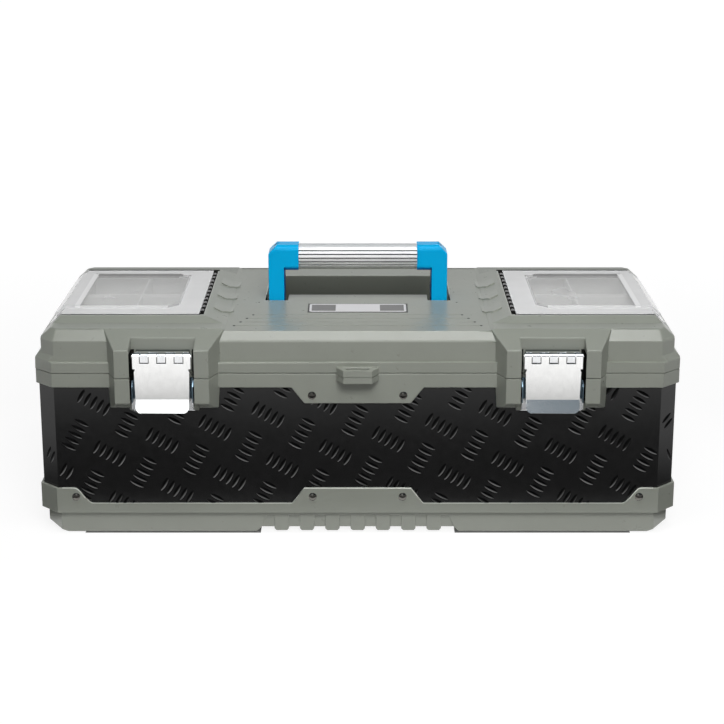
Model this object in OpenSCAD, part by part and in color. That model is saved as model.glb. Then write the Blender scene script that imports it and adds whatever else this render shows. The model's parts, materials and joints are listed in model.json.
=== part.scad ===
// Hard tool case with a hinged lid: a moulded base and collar clamp a folded sheet body, and the
// lid carries a folding handle, two draw latches and two small-part organisers with clear covers.
// Millimetres, +X right, +Y back, +Z up. The origin is the centre of the footprint.
// The front faces -Y. The case is drawn closed, latched, with its handle up.

/* [Case] */
// Length over the collar
case_length = 660; // [620:5:720]
// Depth over the collar
case_depth = 310; // [290:5:340]
// Height of the seam between collar and lid
seam_z = 174.3; // [165:1:190]
// Corner cut of the collar in plan, measured along each side
corner_cut = 19.3; // [15:0.5:24]
// Wall of the moulded shells
wall = 3; // [2.4:0.1:3.4]
// Open gap left along the seam
seam_gap = 0.5; // [0.4:0.1:0.8]
// Clearance between pieces that sit in one another
seat_gap = 0.3; // [0.2:0.05:0.5]
// Radial clearance of a pin in its bore
pin_fit = 0.05; // [0.02:0.01:0.1]

/* [Base] */
// Inset of the lower band behind the collar outline
base_inset = 6.5; // [5.5:0.5:8]
// Top of the lower band
lower_band_z = 24; // [21:1:27]
// Height of the outer wall above the lower band, between its raised parts
band_low_h = 10; // [8:0.5:12]
// Height of the raised corners and centre above the lower band
band_high_h = 27; // [24:0.5:30]
// Half width of the raised centre
band_centre_half = 55; // [40:1:70]
// Length of the raised corners along the front
band_corner = 37; // [32:1:44]
// Run of the curve from a raised corner down to the low wall
corner_run = 19.5; // [14:0.5:24]
// Run of the slope beside the raised centre
centre_run = 13; // [10:0.5:16]
// Height of the feet under the base
foot_h = 1; // [0.6:0.1:1.4]
// Length of a foot along the front
foot_len = 18; // [12:1:24]
// Rise of the slanted end of the base
end_rise = 8; // [6:0.5:10]
// Run of the slanted end of the base
end_run = 21; // [16:1:25]
// Pitch of the ribs under the front edge
rib_pitch = 26.4; // [24:0.2:28]
// Width of a rib
rib_width = 15; // [12:0.5:17]
// Number of ribs
rib_count = 7; // [3:2:9]
// Height of the hollow that the ribs stand in
rib_zone_h = 18; // [15:0.5:19]
// Depth of the hollow that the ribs stand in
rib_depth = 2; // [1.2:0.1:2.4]

/* [Sheet body] */
// Thickness of the sheet
sheet_t = 1.2; // [1:0.1:1.6]
// Inset of the sheet behind the collar outline
sheet_inset = 3; // [2.6:0.1:3.4]

/* [Collar] */
// Height of the collar's outer skirt
skirt_h = 15.1; // [13:0.1:18]
// Extra drop of the skirt at its centre
drop_h = 16.8; // [14:0.2:20]
// Half width of the drop
drop_half = 54.2; // [45:1:62]
// Width of the collar ring seen from above
collar_width = 16; // [14:0.5:18]
// Depth of the tray ledge below the seam
ledge_drop = 25; // [22:0.5:30]
// Width of the tray ledge
ledge_w = 5; // [4:0.5:7]
// Radius of a body rivet's head
rivet_head_r = 4.25; // [3.6:0.05:4.6]
// Height of a body rivet's head
rivet_head_h = 1.8; // [1.2:0.1:2.2]
// Radius of a body rivet's shank
rivet_r = 2; // [1.6:0.1:2.4]
// Distance of the middle rivets from the centre
rivet_mid_x = 46.5; // [38:0.5:52]
// Distance of the corner rivets from the ends
rivet_end_x = 39; // [34:0.5:44]

/* [Lid] */
// Height of the lid's rim
rim_h = 11.5; // [10:0.5:13]
// Inset of the lid's front and back faces behind the collar outline
face_inset = 4.2; // [3.6:0.1:5]
// Inset of the lid's ends behind the collar outline
end_inset = 6.7; // [6:0.1:8]
// Height of the front face above the seam
face_h = 32.6; // [30:0.2:35]
// Height of the lid's middle top above the seam
top_h = 41.1; // [39.5:0.1:43]
// Run of the slope from the front face to the middle top
slope_run = 9; // [8:0.25:12]
// Step up from the middle top to the end zones
zone_step = 1.8; // [1:0.1:2.4]
// Distance of the end zones from the centre
zone_x = 135; // [128:1:138]
// Height of the organiser decks above the middle top
deck_step = 6.6; // [6:0.1:7.2]
// Run of the slope at the ends of the lid
end_slope_run = 15.4; // [13:0.2:18]
// Height of the slope at the ends of the lid
end_slope_h = 14; // [12:0.2:16]

/* [Organisers] */
// Inner edge of the clear cover, from the centre
cover_inner_x = 164.5; // [162:0.5:170]
// Half width of the clear cover
cover_half = 99; // [90:1:104]
// Thickness of the clear cover
cover_t = 2.2; // [1.8:0.1:2.6]
// Height of the cover's raised panel
panel_h = 2.7; // [2:0.1:3.4]
// Drop of the cover's flap over the end of the lid
flap_drop = 11; // [8:0.5:11.5]
// Depth of an organiser bin
bin_depth = 38.6; // [30:0.2:39]
// Wall of an organiser bin
bin_wall = 1.6; // [1.2:0.1:2]
// Width of the rim left around an organiser bin
bin_rim = 7; // [6:0.5:9]
// Width of the flange that an organiser bin hangs by
bin_flange = 3; // [2:0.25:3.5]
// Thickness of that flange
bin_flange_t = 2; // [1.4:0.1:2.4]
// Thickness of the cross-shaped divider in a bin
divider_t = 1.6; // [1.2:0.1:2.4]
// Radius of the cover's hinge knuckles
knuckle_r = 1.9; // [1.7:0.1:2]
// Radius of the cover's hinge pin
cover_pin_r = 0.8; // [0.6:0.05:0.9]
// Number of knuckles on a cover
knuckle_count = 11; // [7:2:15]

/* [Handle] */
// Outer radius of the grip tube
tube_r = 13.4; // [12.5:0.1:14]
// Wall of the grip tube
tube_wall = 2.6; // [2:0.1:3.2]
// Half length of the grip tube that shows
tube_half = 64; // [55:1:70]
// Distance of the grip tube above its pivot
handle_rise = 63; // [58:0.5:66]
// Outer face of a handle end, from the centre
handle_half = 96.6; // [94:0.2:102]
// Width of a handle leg
leg_width = 17.6; // [15:0.2:20]
// Extra half size of a handle end around the tube
end_lap = 0.5; // [0.3:0.1:0.8]
// Corner cut on the handle's outer shoulders
shoulder_cut = 9; // [6:0.5:11]
// Depth of the pivot below the lid's middle top
pivot_drop = 17.4; // [16.4:0.2:19]
// Distance of the pivot behind the centre
pivot_y = 4.5; // [0:0.5:10]
// Radius of a handle pivot pin
pivot_r = 2.5; // [2:0.1:3.5]
// Length of the handle well behind its front edge
well_len = 91.5; // [88:0.5:100]
// Distance of the well's front edge behind the pivot
well_front = 9; // [4:0.5:12]
// Depth of the well below the lid's middle top
well_depth = 34.9; // [34:0.1:36]
// Gap beside the handle legs in their slots
slot_side = 3.2; // [1.6:0.2:4]
// Gap in front of the handle legs in their slots
slot_front = 2.6; // [1.5:0.1:4]
// Rounding of the handle ends around the tube
end_round = 6; // [4:0.5:8]
// Radius of the handle screw's head
screw_r = 2.8; // [2.4:0.1:3.2]
// Length of the handle screw's shank
screw_len = 15; // [10:1:20]
// Depth of the handle screw's head below the shoulder
screw_sink = 2; // [1:0.25:3]

/* [Latches] */
// Distance of a latch from the centre
latch_x = 196.8; // [192:0.4:204]
// Depth of the latch surround in front of the collar
surround_depth = 19.8; // [18:0.2:22]
// Width of the surround's front face
surround_width = 95; // [90:0.5:102]
// Flare of the surround's sides, per unit of depth
surround_flare = 0.4; // [0.3:0.02:0.5]
// Draft of the surround's sides below the seam
surround_draft = 1.5; // [0:0.1:2]
// Width of the latch recess
recess_width = 64.8; // [62:0.2:68]
// Drop of the surround below the seam at its front
surround_drop = 26.2; // [22:0.2:30]
// Height of the surround above the seam at its front
surround_rise = 29.5; // [27:0.5:32]
// Width of the lever plate at its top
lever_width = 58.4; // [54:0.2:58.8]
// Width of the lever plate below its notches
lever_low_width = 56; // [50:0.5:57]
// Thickness of the lever and of the other pressed parts
lever_t = 1.2; // [1:0.1:1.5]
// Height of the latch pin above the seam
latch_pin_h = 21.7; // [20:0.1:25]
// Radius of the latch pin
latch_pin_r = 1.5; // [1.2:0.1:1.8]
// Radius of the latch knuckles
latch_knuckle_r = 3.2; // [3:0.1:3.6]
// Distance from the latch pin down to the bend of the lip
lip_bend = 44.8; // [42:0.2:50]
// Distance from the latch pin down to the lip's edge
lip_edge = 57.2; // [55:0.2:63]
// Forward reach of the lip from the lever plate
lip_reach = 5.4; // [4:0.2:7]
// Radius of the lip's lower corners
lip_corner = 6; // [4:0.5:8]
// Pitch of the latch's hinge fingers
finger_pitch = 17.4; // [16:0.2:18]
// Width of a hinge finger
finger_width = 8.2; // [6:0.2:8.6]
// Reach of a finger's tip below the latch pin
finger_drop = 5.7; // [4.5:0.1:6.5]
// Reach of the keeper's catch in front of the collar
catch_reach = 9; // [8:0.5:10]
// Drop of the keeper's lower end below the seam
keeper_drop = 38.8; // [35:0.2:40]

/* [Padlock eye] */
// Half width of the eye where it meets the wall
eye_half = 21.3; // [18:0.5:24]
// Half width of the eye at its front
eye_front_half = 14.6; // [14:0.2:17]
// Reach of the eye in front of the collar
eye_reach = 16.3; // [14:0.3:17]
// Thickness of the eye above the seam
eye_up = 7.3; // [6:0.2:9]
// Thickness of the eye below the seam
eye_down = 6.4; // [5:0.2:8]
// Half length of the padlock slot
slot_half = 11.8; // [9:0.2:12.4]
// Width of the padlock slot
slot_width = 7.6; // [6.4:0.2:8.4]

/* [Lid hinge] */
// Radius of the hinge knuckles at the back
hinge_r = 7; // [6:0.25:7.5]
// Radius of the hinge pin
hinge_pin_r = 3; // [2.4:0.1:3.4]
// Distance of the hinge pin behind the collar
hinge_back = 15.5; // [13:0.25:18]
// Length of the lid's knuckle
hinge_mid = 24; // [18:1:30]
// Length of each of the collar's two knuckles
hinge_side = 17.5; // [12:0.5:22]

/* [Top details] */
// Length of the bare plate on the lid
plate_len = 106; // [90:1:120]
// Width of the bare plate on the lid
plate_width = 36.5; // [30:0.5:40]
// Distance of the plate's centre in front of the centre
plate_front = 47.2; // [44:0.2:52]
// Thickness of the plate
plate_t = 0.8; // [0.6:0.1:1.2]
// Width of the fine grooves across the lid
groove_width = 1.4; // [1:0.1:2]
// Depth of the fine grooves
groove_depth = 0.6; // [0.4:0.1:0.9]
// Pitch of the fine grooves
groove_pitch = 14.8; // [13:0.2:15.4]

/* [Tray] */
// Half length of the lift-out tray
tray_half = 200; // [150:5:230]
// Depth of the tray below its ledge
tray_below = 36; // [28:1:50]
// Height of the tray above its ledge
tray_above = 20; // [16:0.5:21]
// Wall of the tray
tray_wall = 2; // [1.6:0.1:2.6]
// Radius of the tray's grip
grip_r = 7; // [6:0.25:8]
// Half length of the tray's grip
grip_half = 60; // [50:1:80]

/* [Hidden] */
$fn = 64;
eps = 0.01;
half_x = case_length / 2;
half_y = case_depth / 2;
// A cut at 45 degrees shrinks by this share of an inset that keeps its sides parallel
cut_shrink = 2 - sqrt(2);

base_z = foot_h;
band_low_z = lower_band_z + band_low_h;
band_high_z = lower_band_z + band_high_h;
band_wall = sheet_inset - seat_gap;
channel_in = sheet_inset + sheet_t + seat_gap;
ledge_z = lower_band_z + wall;
floor_z = base_z + 2 * wall;
upstand_z = band_high_z - 2 * wall;
rib_zone_half = (rib_count - 1) / 2 * rib_pitch + rib_width / 2 + 14;
rib_zone_lean = 6.4;
rib_zone_rise = 4.3;
rib_zone_reach = 20;

collar_z = seam_z - seam_gap / 2;
skirt_z = seam_z - skirt_h;
drop_z = skirt_z - drop_h;
drop_run = 14;
web_z = collar_z - wall - 1;
sheet_z0 = ledge_z + seat_gap;
sheet_z1 = web_z - seat_gap;
tray_ledge_z = seam_z - ledge_drop + wall;
inner_skirt_in = collar_width - wall;
collar_rivet_z = drop_z + 8.4;
base_rivet_z = band_high_z - 9.5;

lid_z = seam_z + seam_gap / 2;
rim_z = seam_z + rim_h;
face_z = seam_z + face_h;
top_z = seam_z + top_h;
front_k = slope_run / (top_z - face_z);
zone_z = top_z + zone_step;
deck_z = top_z + deck_step;
zone_ramp = 4;
deck_run = 22;
deck_inner_x = zone_x + deck_run;
deck_bevel = 11.6;
deck_half = cover_half + 7;
end_face = half_x - end_inset;
end_slope_z = deck_z - end_slope_h;
deck_end_x = end_face - end_slope_run;
// The vertical corner faces of the lid lie this far from the centre, square to themselves
corner_dist = (end_face + half_y - face_inset - corner_cut + 1.2 + 3.8) / sqrt(2);
rim_corner_dist = (half_x + half_y - corner_cut) / sqrt(2);
shoulder_low_z = rim_z + 0.9;
shoulder_high_z = rim_z + 9.2;

cover_gap = seat_gap;
cover_z = deck_z + 0.2;
slope_k = end_slope_run / end_slope_h;
slope_len = sqrt(slope_k * slope_k + 1);
corner_k = tan(atan(1 / slope_k) / 2);
cover_axis_x = cover_inner_x - knuckle_r - 0.6;
cover_axis_z = cover_z - 1.3;
trench_inner_x = cover_axis_x - knuckle_r - 0.6;
knuckle_span = (2 * cover_half - 8) / (2 * knuckle_count + 1);
panel_in_x = cover_inner_x + 23.5;
panel_half = cover_half - 25;
panel_cut = 12;
pocket_in_x = cover_inner_x + 4;
pocket_out_x = deck_end_x - bin_rim;
pocket_half = cover_half - bin_rim;
pocket_top = cover_z - cover_t - cover_gap;
flange_z = pocket_top - seat_gap - bin_flange_t;
bin_z = pocket_top - seat_gap - bin_depth;
divider_x = (pocket_in_x + pocket_out_x) / 2;
screw_head = 2;

pivot_z = top_z - pivot_drop;
tube_z = pivot_z + handle_rise;
end_half = tube_r + end_lap;
leg_in = handle_half - leg_width;
spigot_r = tube_r - tube_wall - pin_fit;
spigot_len = 20;
well_half = handle_half + slot_side;
slot_in = leg_in - slot_side;
well_y0 = pivot_y + well_front;
well_y1 = well_y0 + well_len;
slot_y0 = pivot_y - end_half - slot_front;
well_z = top_z - well_depth;
boss_t = 5;

surround_y = half_y + surround_depth;
recess_y = half_y - 0.8;
surround_half = surround_width / 2;
surround_back = face_inset + slope_run + 2;
surround_top_z = seam_z + surround_rise;
surround_low_z = seam_z - surround_drop;
surround_tip_z = surround_low_z - 10.8;
surround_kink = 8.9;
surround_kink_z = surround_low_z - 5.8;
latch_pin_z = seam_z + latch_pin_h;
lever_y = surround_y - 2.7;
latch_pin_y = lever_y - latch_knuckle_r;
finger_gap = 0.6;
tip_gap = 1;
latch_rivet_r = 1.6;
latch_rivet_x = 14;
leaf_rivet_z = latch_pin_z - 12;
bracket_rivet_z = skirt_z - 5;
bracket_z0 = seam_z - keeper_drop;
bracket_z1 = seam_z - 4;
cheek_in = lever_low_width / 2 + 2;
cheek_rise = 5.3;

hinge_y = half_y + hinge_back;
hinge_gap = 0.5;
hinge_len = hinge_mid / 2 + hinge_gap + hinge_side;

grip_z = tray_ledge_z + tray_above - grip_r;
tray_in = collar_width + ledge_w + 1;
tray_z0 = tray_ledge_z - tray_below;
tray_z1 = tray_ledge_z + tray_above;
tray_half_y = half_y - tray_in;

grey = [0.56, 0.58, 0.54];
dark = [0.14, 0.14, 0.14];
steel = [0.85, 0.86, 0.87];
blue = [0.02, 0.6, 0.88];
clear = [0.85, 0.87, 0.88, 0.5];

// ---- Shared shapes ----

// Plan outline of the case, drawn this far inside the collar outline
module plan(inset) {
    x = half_x - inset;
    y = half_y - inset;
    c = corner_cut - inset * cut_shrink;
    polygon([[x - c, y], [c - x, y], [-x, y - c], [-x, c - y],
        [c - x, -y], [x - c, -y], [x, c - y], [x, y - c]]);
}

module slab(z0, z1, inset) {
    translate([0, 0, z0]) linear_extrude(z1 - z0) plan(inset);
}

module ring(z0, z1, outer, inner) {
    difference() {
        slab(z0, z1, outer);
        slab(z0 - 1, z1 + 1, inner);
    }
}

// A box given by its low and high corners
module block(low, high) {
    translate(low) cube(high - low);
}

// An outline in Y and Z drawn along X
module along_x(x0, x1) {
    translate([x0, 0, 0]) rotate([90, 0, 90]) linear_extrude(x1 - x0) children();
}

// An outline in X and Z drawn along Y
module along_y(y0, y1) {
    translate([0, y1, 0]) rotate([90, 0, 0]) linear_extrude(y1 - y0) children();
}

module rod_x(r, x0, x1, y, z) {
    translate([x0, y, z]) rotate([0, 90, 0]) cylinder(r = r, h = x1 - x0);
}

module rod_y(r, y0, y1, x, z) {
    translate([x, y1, z]) rotate([90, 0, 0]) cylinder(r = r, h = y1 - y0);
}

module both_ends() {
    children();
    mirror([1, 0, 0]) children();
}

module front_and_back() {
    children();
    mirror([0, 1, 0]) children();
}

// Outline of a body with upright sides up to zs and sides that slope in above, k per unit of rise
function hip(half, z0, zs, zt, k) = let (top = half - (zt - zs) * k)
    [[-half, z0], [-half, zs], [-top, zt], [top, zt], [half, zs], [half, z0]];

// Points of a smooth step from one height to another
function s_curve(x0, z0, x1, z1, steps = 10) = [for (i = [0:steps])
    [x0 + (x1 - x0) * i / steps, z0 + (z1 - z0) * (1 - cos(180 * i / steps)) / 2]];

// A rivet along Y: its domed head stands in front of face_y and its tail lies behind back_y
module rivet(x, z, face_y, back_y, r, head_r, head_h) {
    ball_r = (head_h * head_h + head_r * head_r) / (2 * head_h);
    translate([x, -face_y, z]) intersection() {
        translate([0, ball_r - head_h, 0]) sphere(r = ball_r);
        block([-head_r - 1, -head_h - 1, -head_r - 1], [head_r + 1, 0, head_r + 1]);
    }
    rod_y(r, -face_y - eps, -back_y + eps, x, z);
    rod_y(r * 1.7, -back_y, -back_y + 1, x, z);
}

// ---- Base, sheet and collar ----

module raised_outline() {
    c0 = half_x - band_corner;
    c1 = c0 - corner_run;
    m = band_centre_half;
    right = concat(s_curve(c0, band_high_z, c1, band_low_z),
        [[m + centre_run, band_low_z], [m, band_high_z]]);
    left = [for (i = [len(right) - 1:-1:0]) [-right[i][0], right[i][1]]];
    polygon(concat([[half_x, lower_band_z - 1], [half_x, band_high_z]], right, left,
        [[-half_x, band_high_z], [-half_x, lower_band_z - 1]]));
}

module base_rivet_holes() {
    for (x = [-half_x + rivet_end_x, -rivet_mid_x, rivet_mid_x, half_x - rivet_end_x])
        rod_y(rivet_r + pin_fit, -half_y - 1, half_y + 1, x, base_rivet_z);
}

module collar_rivet_holes() {
    for (x = [-rivet_mid_x, rivet_mid_x])
        rod_y(rivet_r + pin_fit, -half_y - 1, half_y + 1, x, collar_rivet_z);
}

// Front view of one rib, its lower corners cut
module rib_outline() {
    w = rib_width / 2;
    cut = 1.8;
    polygon([[-w, base_z + rib_zone_h + 1], [-w, base_z + 1 + cut], [cut - w, base_z + 1],
        [w - cut, base_z + 1], [w, base_z + 1 + cut], [w, base_z + rib_zone_h + 1]]);
}

// The hollow in the lower band's face and edge, with the ribs left standing in it
module rib_zone() {
    face_y = half_y - base_inset;
    z1 = base_z + rib_zone_rise;
    difference() {
        union() {
            along_y(-face_y - 1, -face_y + rib_depth) polygon([[-rib_zone_half, z1], [rib_zone_half, z1],
                [rib_zone_half - rib_zone_lean, base_z + rib_zone_h],
                [rib_zone_lean - rib_zone_half, base_z + rib_zone_h]]);
            along_y(-face_y - 1, -face_y + rib_zone_reach) polygon([
                [-rib_zone_half - rib_zone_rise - 1, base_z - 1], [-rib_zone_half, z1], [rib_zone_half, z1],
                [rib_zone_half + rib_zone_rise + 1, base_z - 1]]);
        }
        for (i = [0:rib_count - 1]) translate([(i - (rib_count - 1) / 2) * rib_pitch, 0, 0])
            along_y(-face_y, -face_y + rib_zone_reach + 1) rib_outline();
    }
}

module base_pan() {
    lower_half = half_x - base_inset;
    inner_half = lower_half - wall;
    color(grey) difference() {
        union() {
            intersection() {
                slab(base_z, lower_band_z, base_inset);
                along_y(-half_y, half_y) polygon([[-lower_half, lower_band_z],
                    [-lower_half, base_z + end_rise], [end_run - lower_half, base_z],
                    [lower_half - end_run, base_z], [lower_half, base_z + end_rise],
                    [lower_half, lower_band_z]]);
            }
            intersection() {
                slab(lower_band_z, band_high_z, 0);
                along_y(-half_y, half_y) raised_outline();
            }
            ring(lower_band_z, upstand_z, sheet_inset, channel_in + wall);
            both_ends() front_and_back()
                block([lower_half - end_run - foot_len, half_y - base_inset - 26, 0],
                    [lower_half - end_run, half_y - base_inset - 2, base_z + 1]);
        }
        // The inside, whose floor rises over the slanted ends
        intersection() {
            slab(floor_z, lower_band_z + eps, base_inset + wall);
            along_y(-half_y, half_y) polygon([[-inner_half, lower_band_z + 1],
                [-inner_half, floor_z + end_rise], [end_run - inner_half, floor_z],
                [inner_half - end_run, floor_z], [inner_half, floor_z + end_rise],
                [inner_half, lower_band_z + 1]]);
        }
        slab(lower_band_z, band_high_z + 1, channel_in + wall);
        ring(ledge_z, band_high_z + 1, band_wall, channel_in);
        slab(upstand_z, band_high_z + 1, band_wall);
        front_and_back() rib_zone();
        base_rivet_holes();
    }
}

module body_sheet() {
    color(dark) difference() {
        ring(sheet_z0, sheet_z1, sheet_inset, sheet_inset + sheet_t);
        base_rivet_holes();
        collar_rivet_holes();
        for (side = [-1, 1], dx = [-latch_rivet_x, latch_rivet_x])
            rod_y(latch_rivet_r + pin_fit, -half_y - 1, 0, side * latch_x + dx, bracket_rivet_z);
    }
}

// Plan of a latch surround, centred on the latch, from its front back to the given reach
module surround_plan(back) {
    w = surround_half;
    b = surround_half + surround_flare * (surround_depth + back);
    polygon([[-w, -surround_y], [w, -surround_y], [b, back - half_y], [-b, back - half_y]]);
}

module eye_plan() {
    straight = 4;
    difference() {
        polygon([[-eye_half, 1 - half_y], [-eye_half, -half_y - straight],
            [-eye_front_half, -half_y - eye_reach], [eye_front_half, -half_y - eye_reach],
            [eye_half, -half_y - straight], [eye_half, 1 - half_y]]);
        translate([-slot_half, -half_y - eye_reach / 2 - slot_width / 2])
            square([2 * slot_half, slot_width]);
    }
}

module hinge_knuckle(x0, x1, z0, z1) {
    difference() {
        union() {
            rod_x(hinge_r, x0, x1, hinge_y, seam_z);
            block([x0, half_y - 0.5, z0], [x1, hinge_y, z1]);
        }
        rod_x(hinge_pin_r + pin_fit, x0 - 1, x1 + 1, hinge_y, seam_z);
    }
}

module skirt_drop() {
    x = drop_half;
    along_y(-half_y, -half_y + band_wall) polygon([[-x, drop_z], [x, drop_z],
        [x + drop_run, skirt_z + 1], [-x - drop_run, skirt_z + 1]]);
}

// Hollow of a surround's right cheek, inside its walls
module cheek_hollow() {
    slant_wall = wall * sqrt(1 + surround_flare * surround_flare);
    x0 = recess_width / 2 + wall;
    x1 = surround_half + surround_flare * wall - slant_wall;
    x2 = surround_half + surround_flare * surround_depth - slant_wall;
    polygon([[x0, wall - surround_y], [x1, wall - surround_y], [x2, -half_y], [x0, -half_y]]);
}

// Cheeks of the collar on either side of a latch recess: hollow, and open below
module surround_cheeks() {
    z0 = surround_tip_z - 1;
    root = surround_half + surround_flare * (surround_depth + band_wall);
    intersection() {
        difference() {
            translate([0, 0, z0]) linear_extrude(collar_z - z0) surround_plan(band_wall);
            both_ends() translate([0, 0, z0 - 1]) linear_extrude(web_z - z0 + 1) cheek_hollow();
            block([-recess_width / 2, -surround_y - 1, z0 - 1],
                [recess_width / 2, -half_y + band_wall + 1, collar_z + 1]);
        }
        along_x(-root - 1, root + 1) polygon([[-surround_y, collar_z], [-surround_y, surround_low_z],
            [surround_kink - surround_y, surround_kink_z], [band_wall - half_y, surround_tip_z],
            [band_wall - half_y, collar_z]]);
        along_y(-surround_y - 1, -half_y + band_wall + 1) polygon([[-root - 1, collar_z],
            [surround_draft - root, surround_tip_z], [root - surround_draft, surround_tip_z],
            [root + 1, collar_z]]);
    }
}

module top_collar() {
    color(grey) difference() {
        union() {
            difference() {
                slab(skirt_z, collar_z, 0);
                slab(skirt_z - 1, web_z, band_wall);
                slab(skirt_z - 1, collar_z + 1, collar_width);
            }
            ring(seam_z - ledge_drop, web_z + eps, inner_skirt_in, collar_width);
            ring(seam_z - ledge_drop, tray_ledge_z, inner_skirt_in, collar_width + ledge_w);
            front_and_back() skirt_drop();
            for (side = [-1, 1]) translate([side * latch_x, 0, 0]) {
                surround_cheeks();
                // Pad behind the latch bracket
                block([-recess_width / 2 - wall, -half_y, bracket_z0 - 0.5],
                    [recess_width / 2 + wall, -half_y + band_wall, skirt_z + 1]);
                for (k = [-1, 1]) {
                    x0 = k > 0 ? hinge_mid / 2 + hinge_gap : -hinge_len;
                    hinge_knuckle(x0, x0 + hinge_side, seam_z - 6.5, collar_z);
                }
            }
            translate([0, 0, seam_z - eye_down]) linear_extrude(eye_down - seam_gap / 2) eye_plan();
        }
        collar_rivet_holes();
        for (side = [-1, 1], dx = [-latch_rivet_x, latch_rivet_x])
            rod_y(latch_rivet_r + pin_fit, -half_y - 1, 0, side * latch_x + dx, bracket_rivet_z);
    }
}

module collar_rivets() {
    color("dimgray") front_and_back() for (x = [-rivet_mid_x, rivet_mid_x])
        rivet(x, collar_rivet_z, half_y, half_y - sheet_inset - sheet_t,
            rivet_r, rivet_head_r, rivet_head_h);
}

module base_rivets() {
    color("dimgray") front_and_back()
        for (x = [-half_x + rivet_end_x, -rivet_mid_x, rivet_mid_x, half_x - rivet_end_x])
            rivet(x, base_rivet_z, half_y, half_y - channel_in - wall, rivet_r, rivet_head_r, rivet_head_h);
}

module lid_hinge_pins() {
    color(steel) for (side = [-1, 1])
        rod_x(hinge_pin_r, side * latch_x - hinge_len, side * latch_x + hinge_len, hinge_y, seam_z);
}

// ---- Lid ----

// The slope of the lid's end and its corners, which bound every part of the lid's top
module end_bounds(inset) {
    intersection_for (turn = [0, 45, -45]) rotate(turn)
        along_y(-half_x, half_x) polygon(turn == 0
            ? hip(end_face - inset, lid_z - 1, end_slope_z - inset / 3, deck_z, slope_k)
            : hip(corner_dist - inset, lid_z - 1, face_z - inset / 3, deck_z, 0.864));
}

module middle_top(inset) {
    intersection() {
        along_x(-half_x, half_x) polygon(hip(half_y - face_inset - inset, lid_z - inset, face_z - inset / 3,
            top_z - inset, front_k));
        end_bounds(inset);
    }
}

// Right-hand end zone: a low step, then the organiser deck
module end_zone() {
    intersection() {
        along_y(-half_y, half_y) polygon([[zone_x, lid_z], [zone_x, top_z], [zone_x + zone_ramp, zone_z],
            [half_x, zone_z], [half_x, lid_z]]);
        along_x(0, half_x) polygon(hip(half_y - face_inset, lid_z, face_z, zone_z, front_k));
        end_bounds(0);
    }
    intersection() {
        along_y(-half_y, half_y) polygon([[zone_x + zone_ramp, lid_z], [zone_x + zone_ramp, zone_z],
            [deck_inner_x, deck_z], [half_x, deck_z], [half_x, lid_z]]);
        along_x(0, half_x) polygon(hip(deck_half + deck_bevel, lid_z, zone_z, deck_z,
            deck_bevel / (deck_z - zone_z)));
        end_bounds(0);
    }
}

// The rim, with the slanted shoulders on the lid's ends
module lid_rim() {
    slab(lid_z, rim_z, 0);
    intersection() {
        along_y(-half_y + face_inset, half_y - face_inset) polygon([[-half_x, lid_z],
            [-half_x, shoulder_low_z], [-end_face, shoulder_high_z], [end_face, shoulder_high_z],
            [half_x, shoulder_low_z], [half_x, lid_z]]);
        intersection_for (turn = [45, -45]) rotate(turn) along_y(-half_x, half_x)
            polygon(hip(rim_corner_dist, lid_z, rim_z, shoulder_high_z, 0.7));
    }
}

module lid_surround() {
    intersection() {
        translate([0, 0, lid_z]) linear_extrude(zone_z - lid_z) surround_plan(surround_back);
        along_x(-100, 100) polygon([[-surround_y, lid_z], [-surround_y, surround_top_z],
            [surround_back - half_y, zone_z], [surround_back - half_y, lid_z]]);
    }
}

// Band along the deck and down the end slope: out above the deck by lift, this thick, from x0
function cover_band(x0, lift, t, drop) = let (
        a = [deck_end_x + corner_k * lift, cover_z + lift],
        b = a + [slope_k * drop, -drop],
        c = b - [1 / slope_len, slope_k / slope_len] * t,
        d = a - [corner_k, 1] * t)
    [[x0, cover_z + lift], a, b, c, d, [x0, cover_z + lift - t]];

module well_space() {
    block([-well_half, well_y0, well_z], [well_half, well_y1, top_z + 10]);
    both_ends() block([slot_in, slot_y0, well_z], [well_half, well_y0 + 1, top_z + 10]);
}

module well_tub() {
    block([-well_half - wall, well_y0 - wall, well_z - wall], [well_half + wall, well_y1 + wall, top_z - 1]);
    both_ends() block([slot_in - boss_t, slot_y0 - wall, well_z - wall],
        [well_half + boss_t, well_y0 + 12, top_z - 1]);
}

module knuckle_row(first, count, gap) {
    for (i = [0:count - 1])
        translate([0, -cover_half + 4 + (2 * i + first) * knuckle_span + gap / 2, 0])
            children();
}

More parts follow.
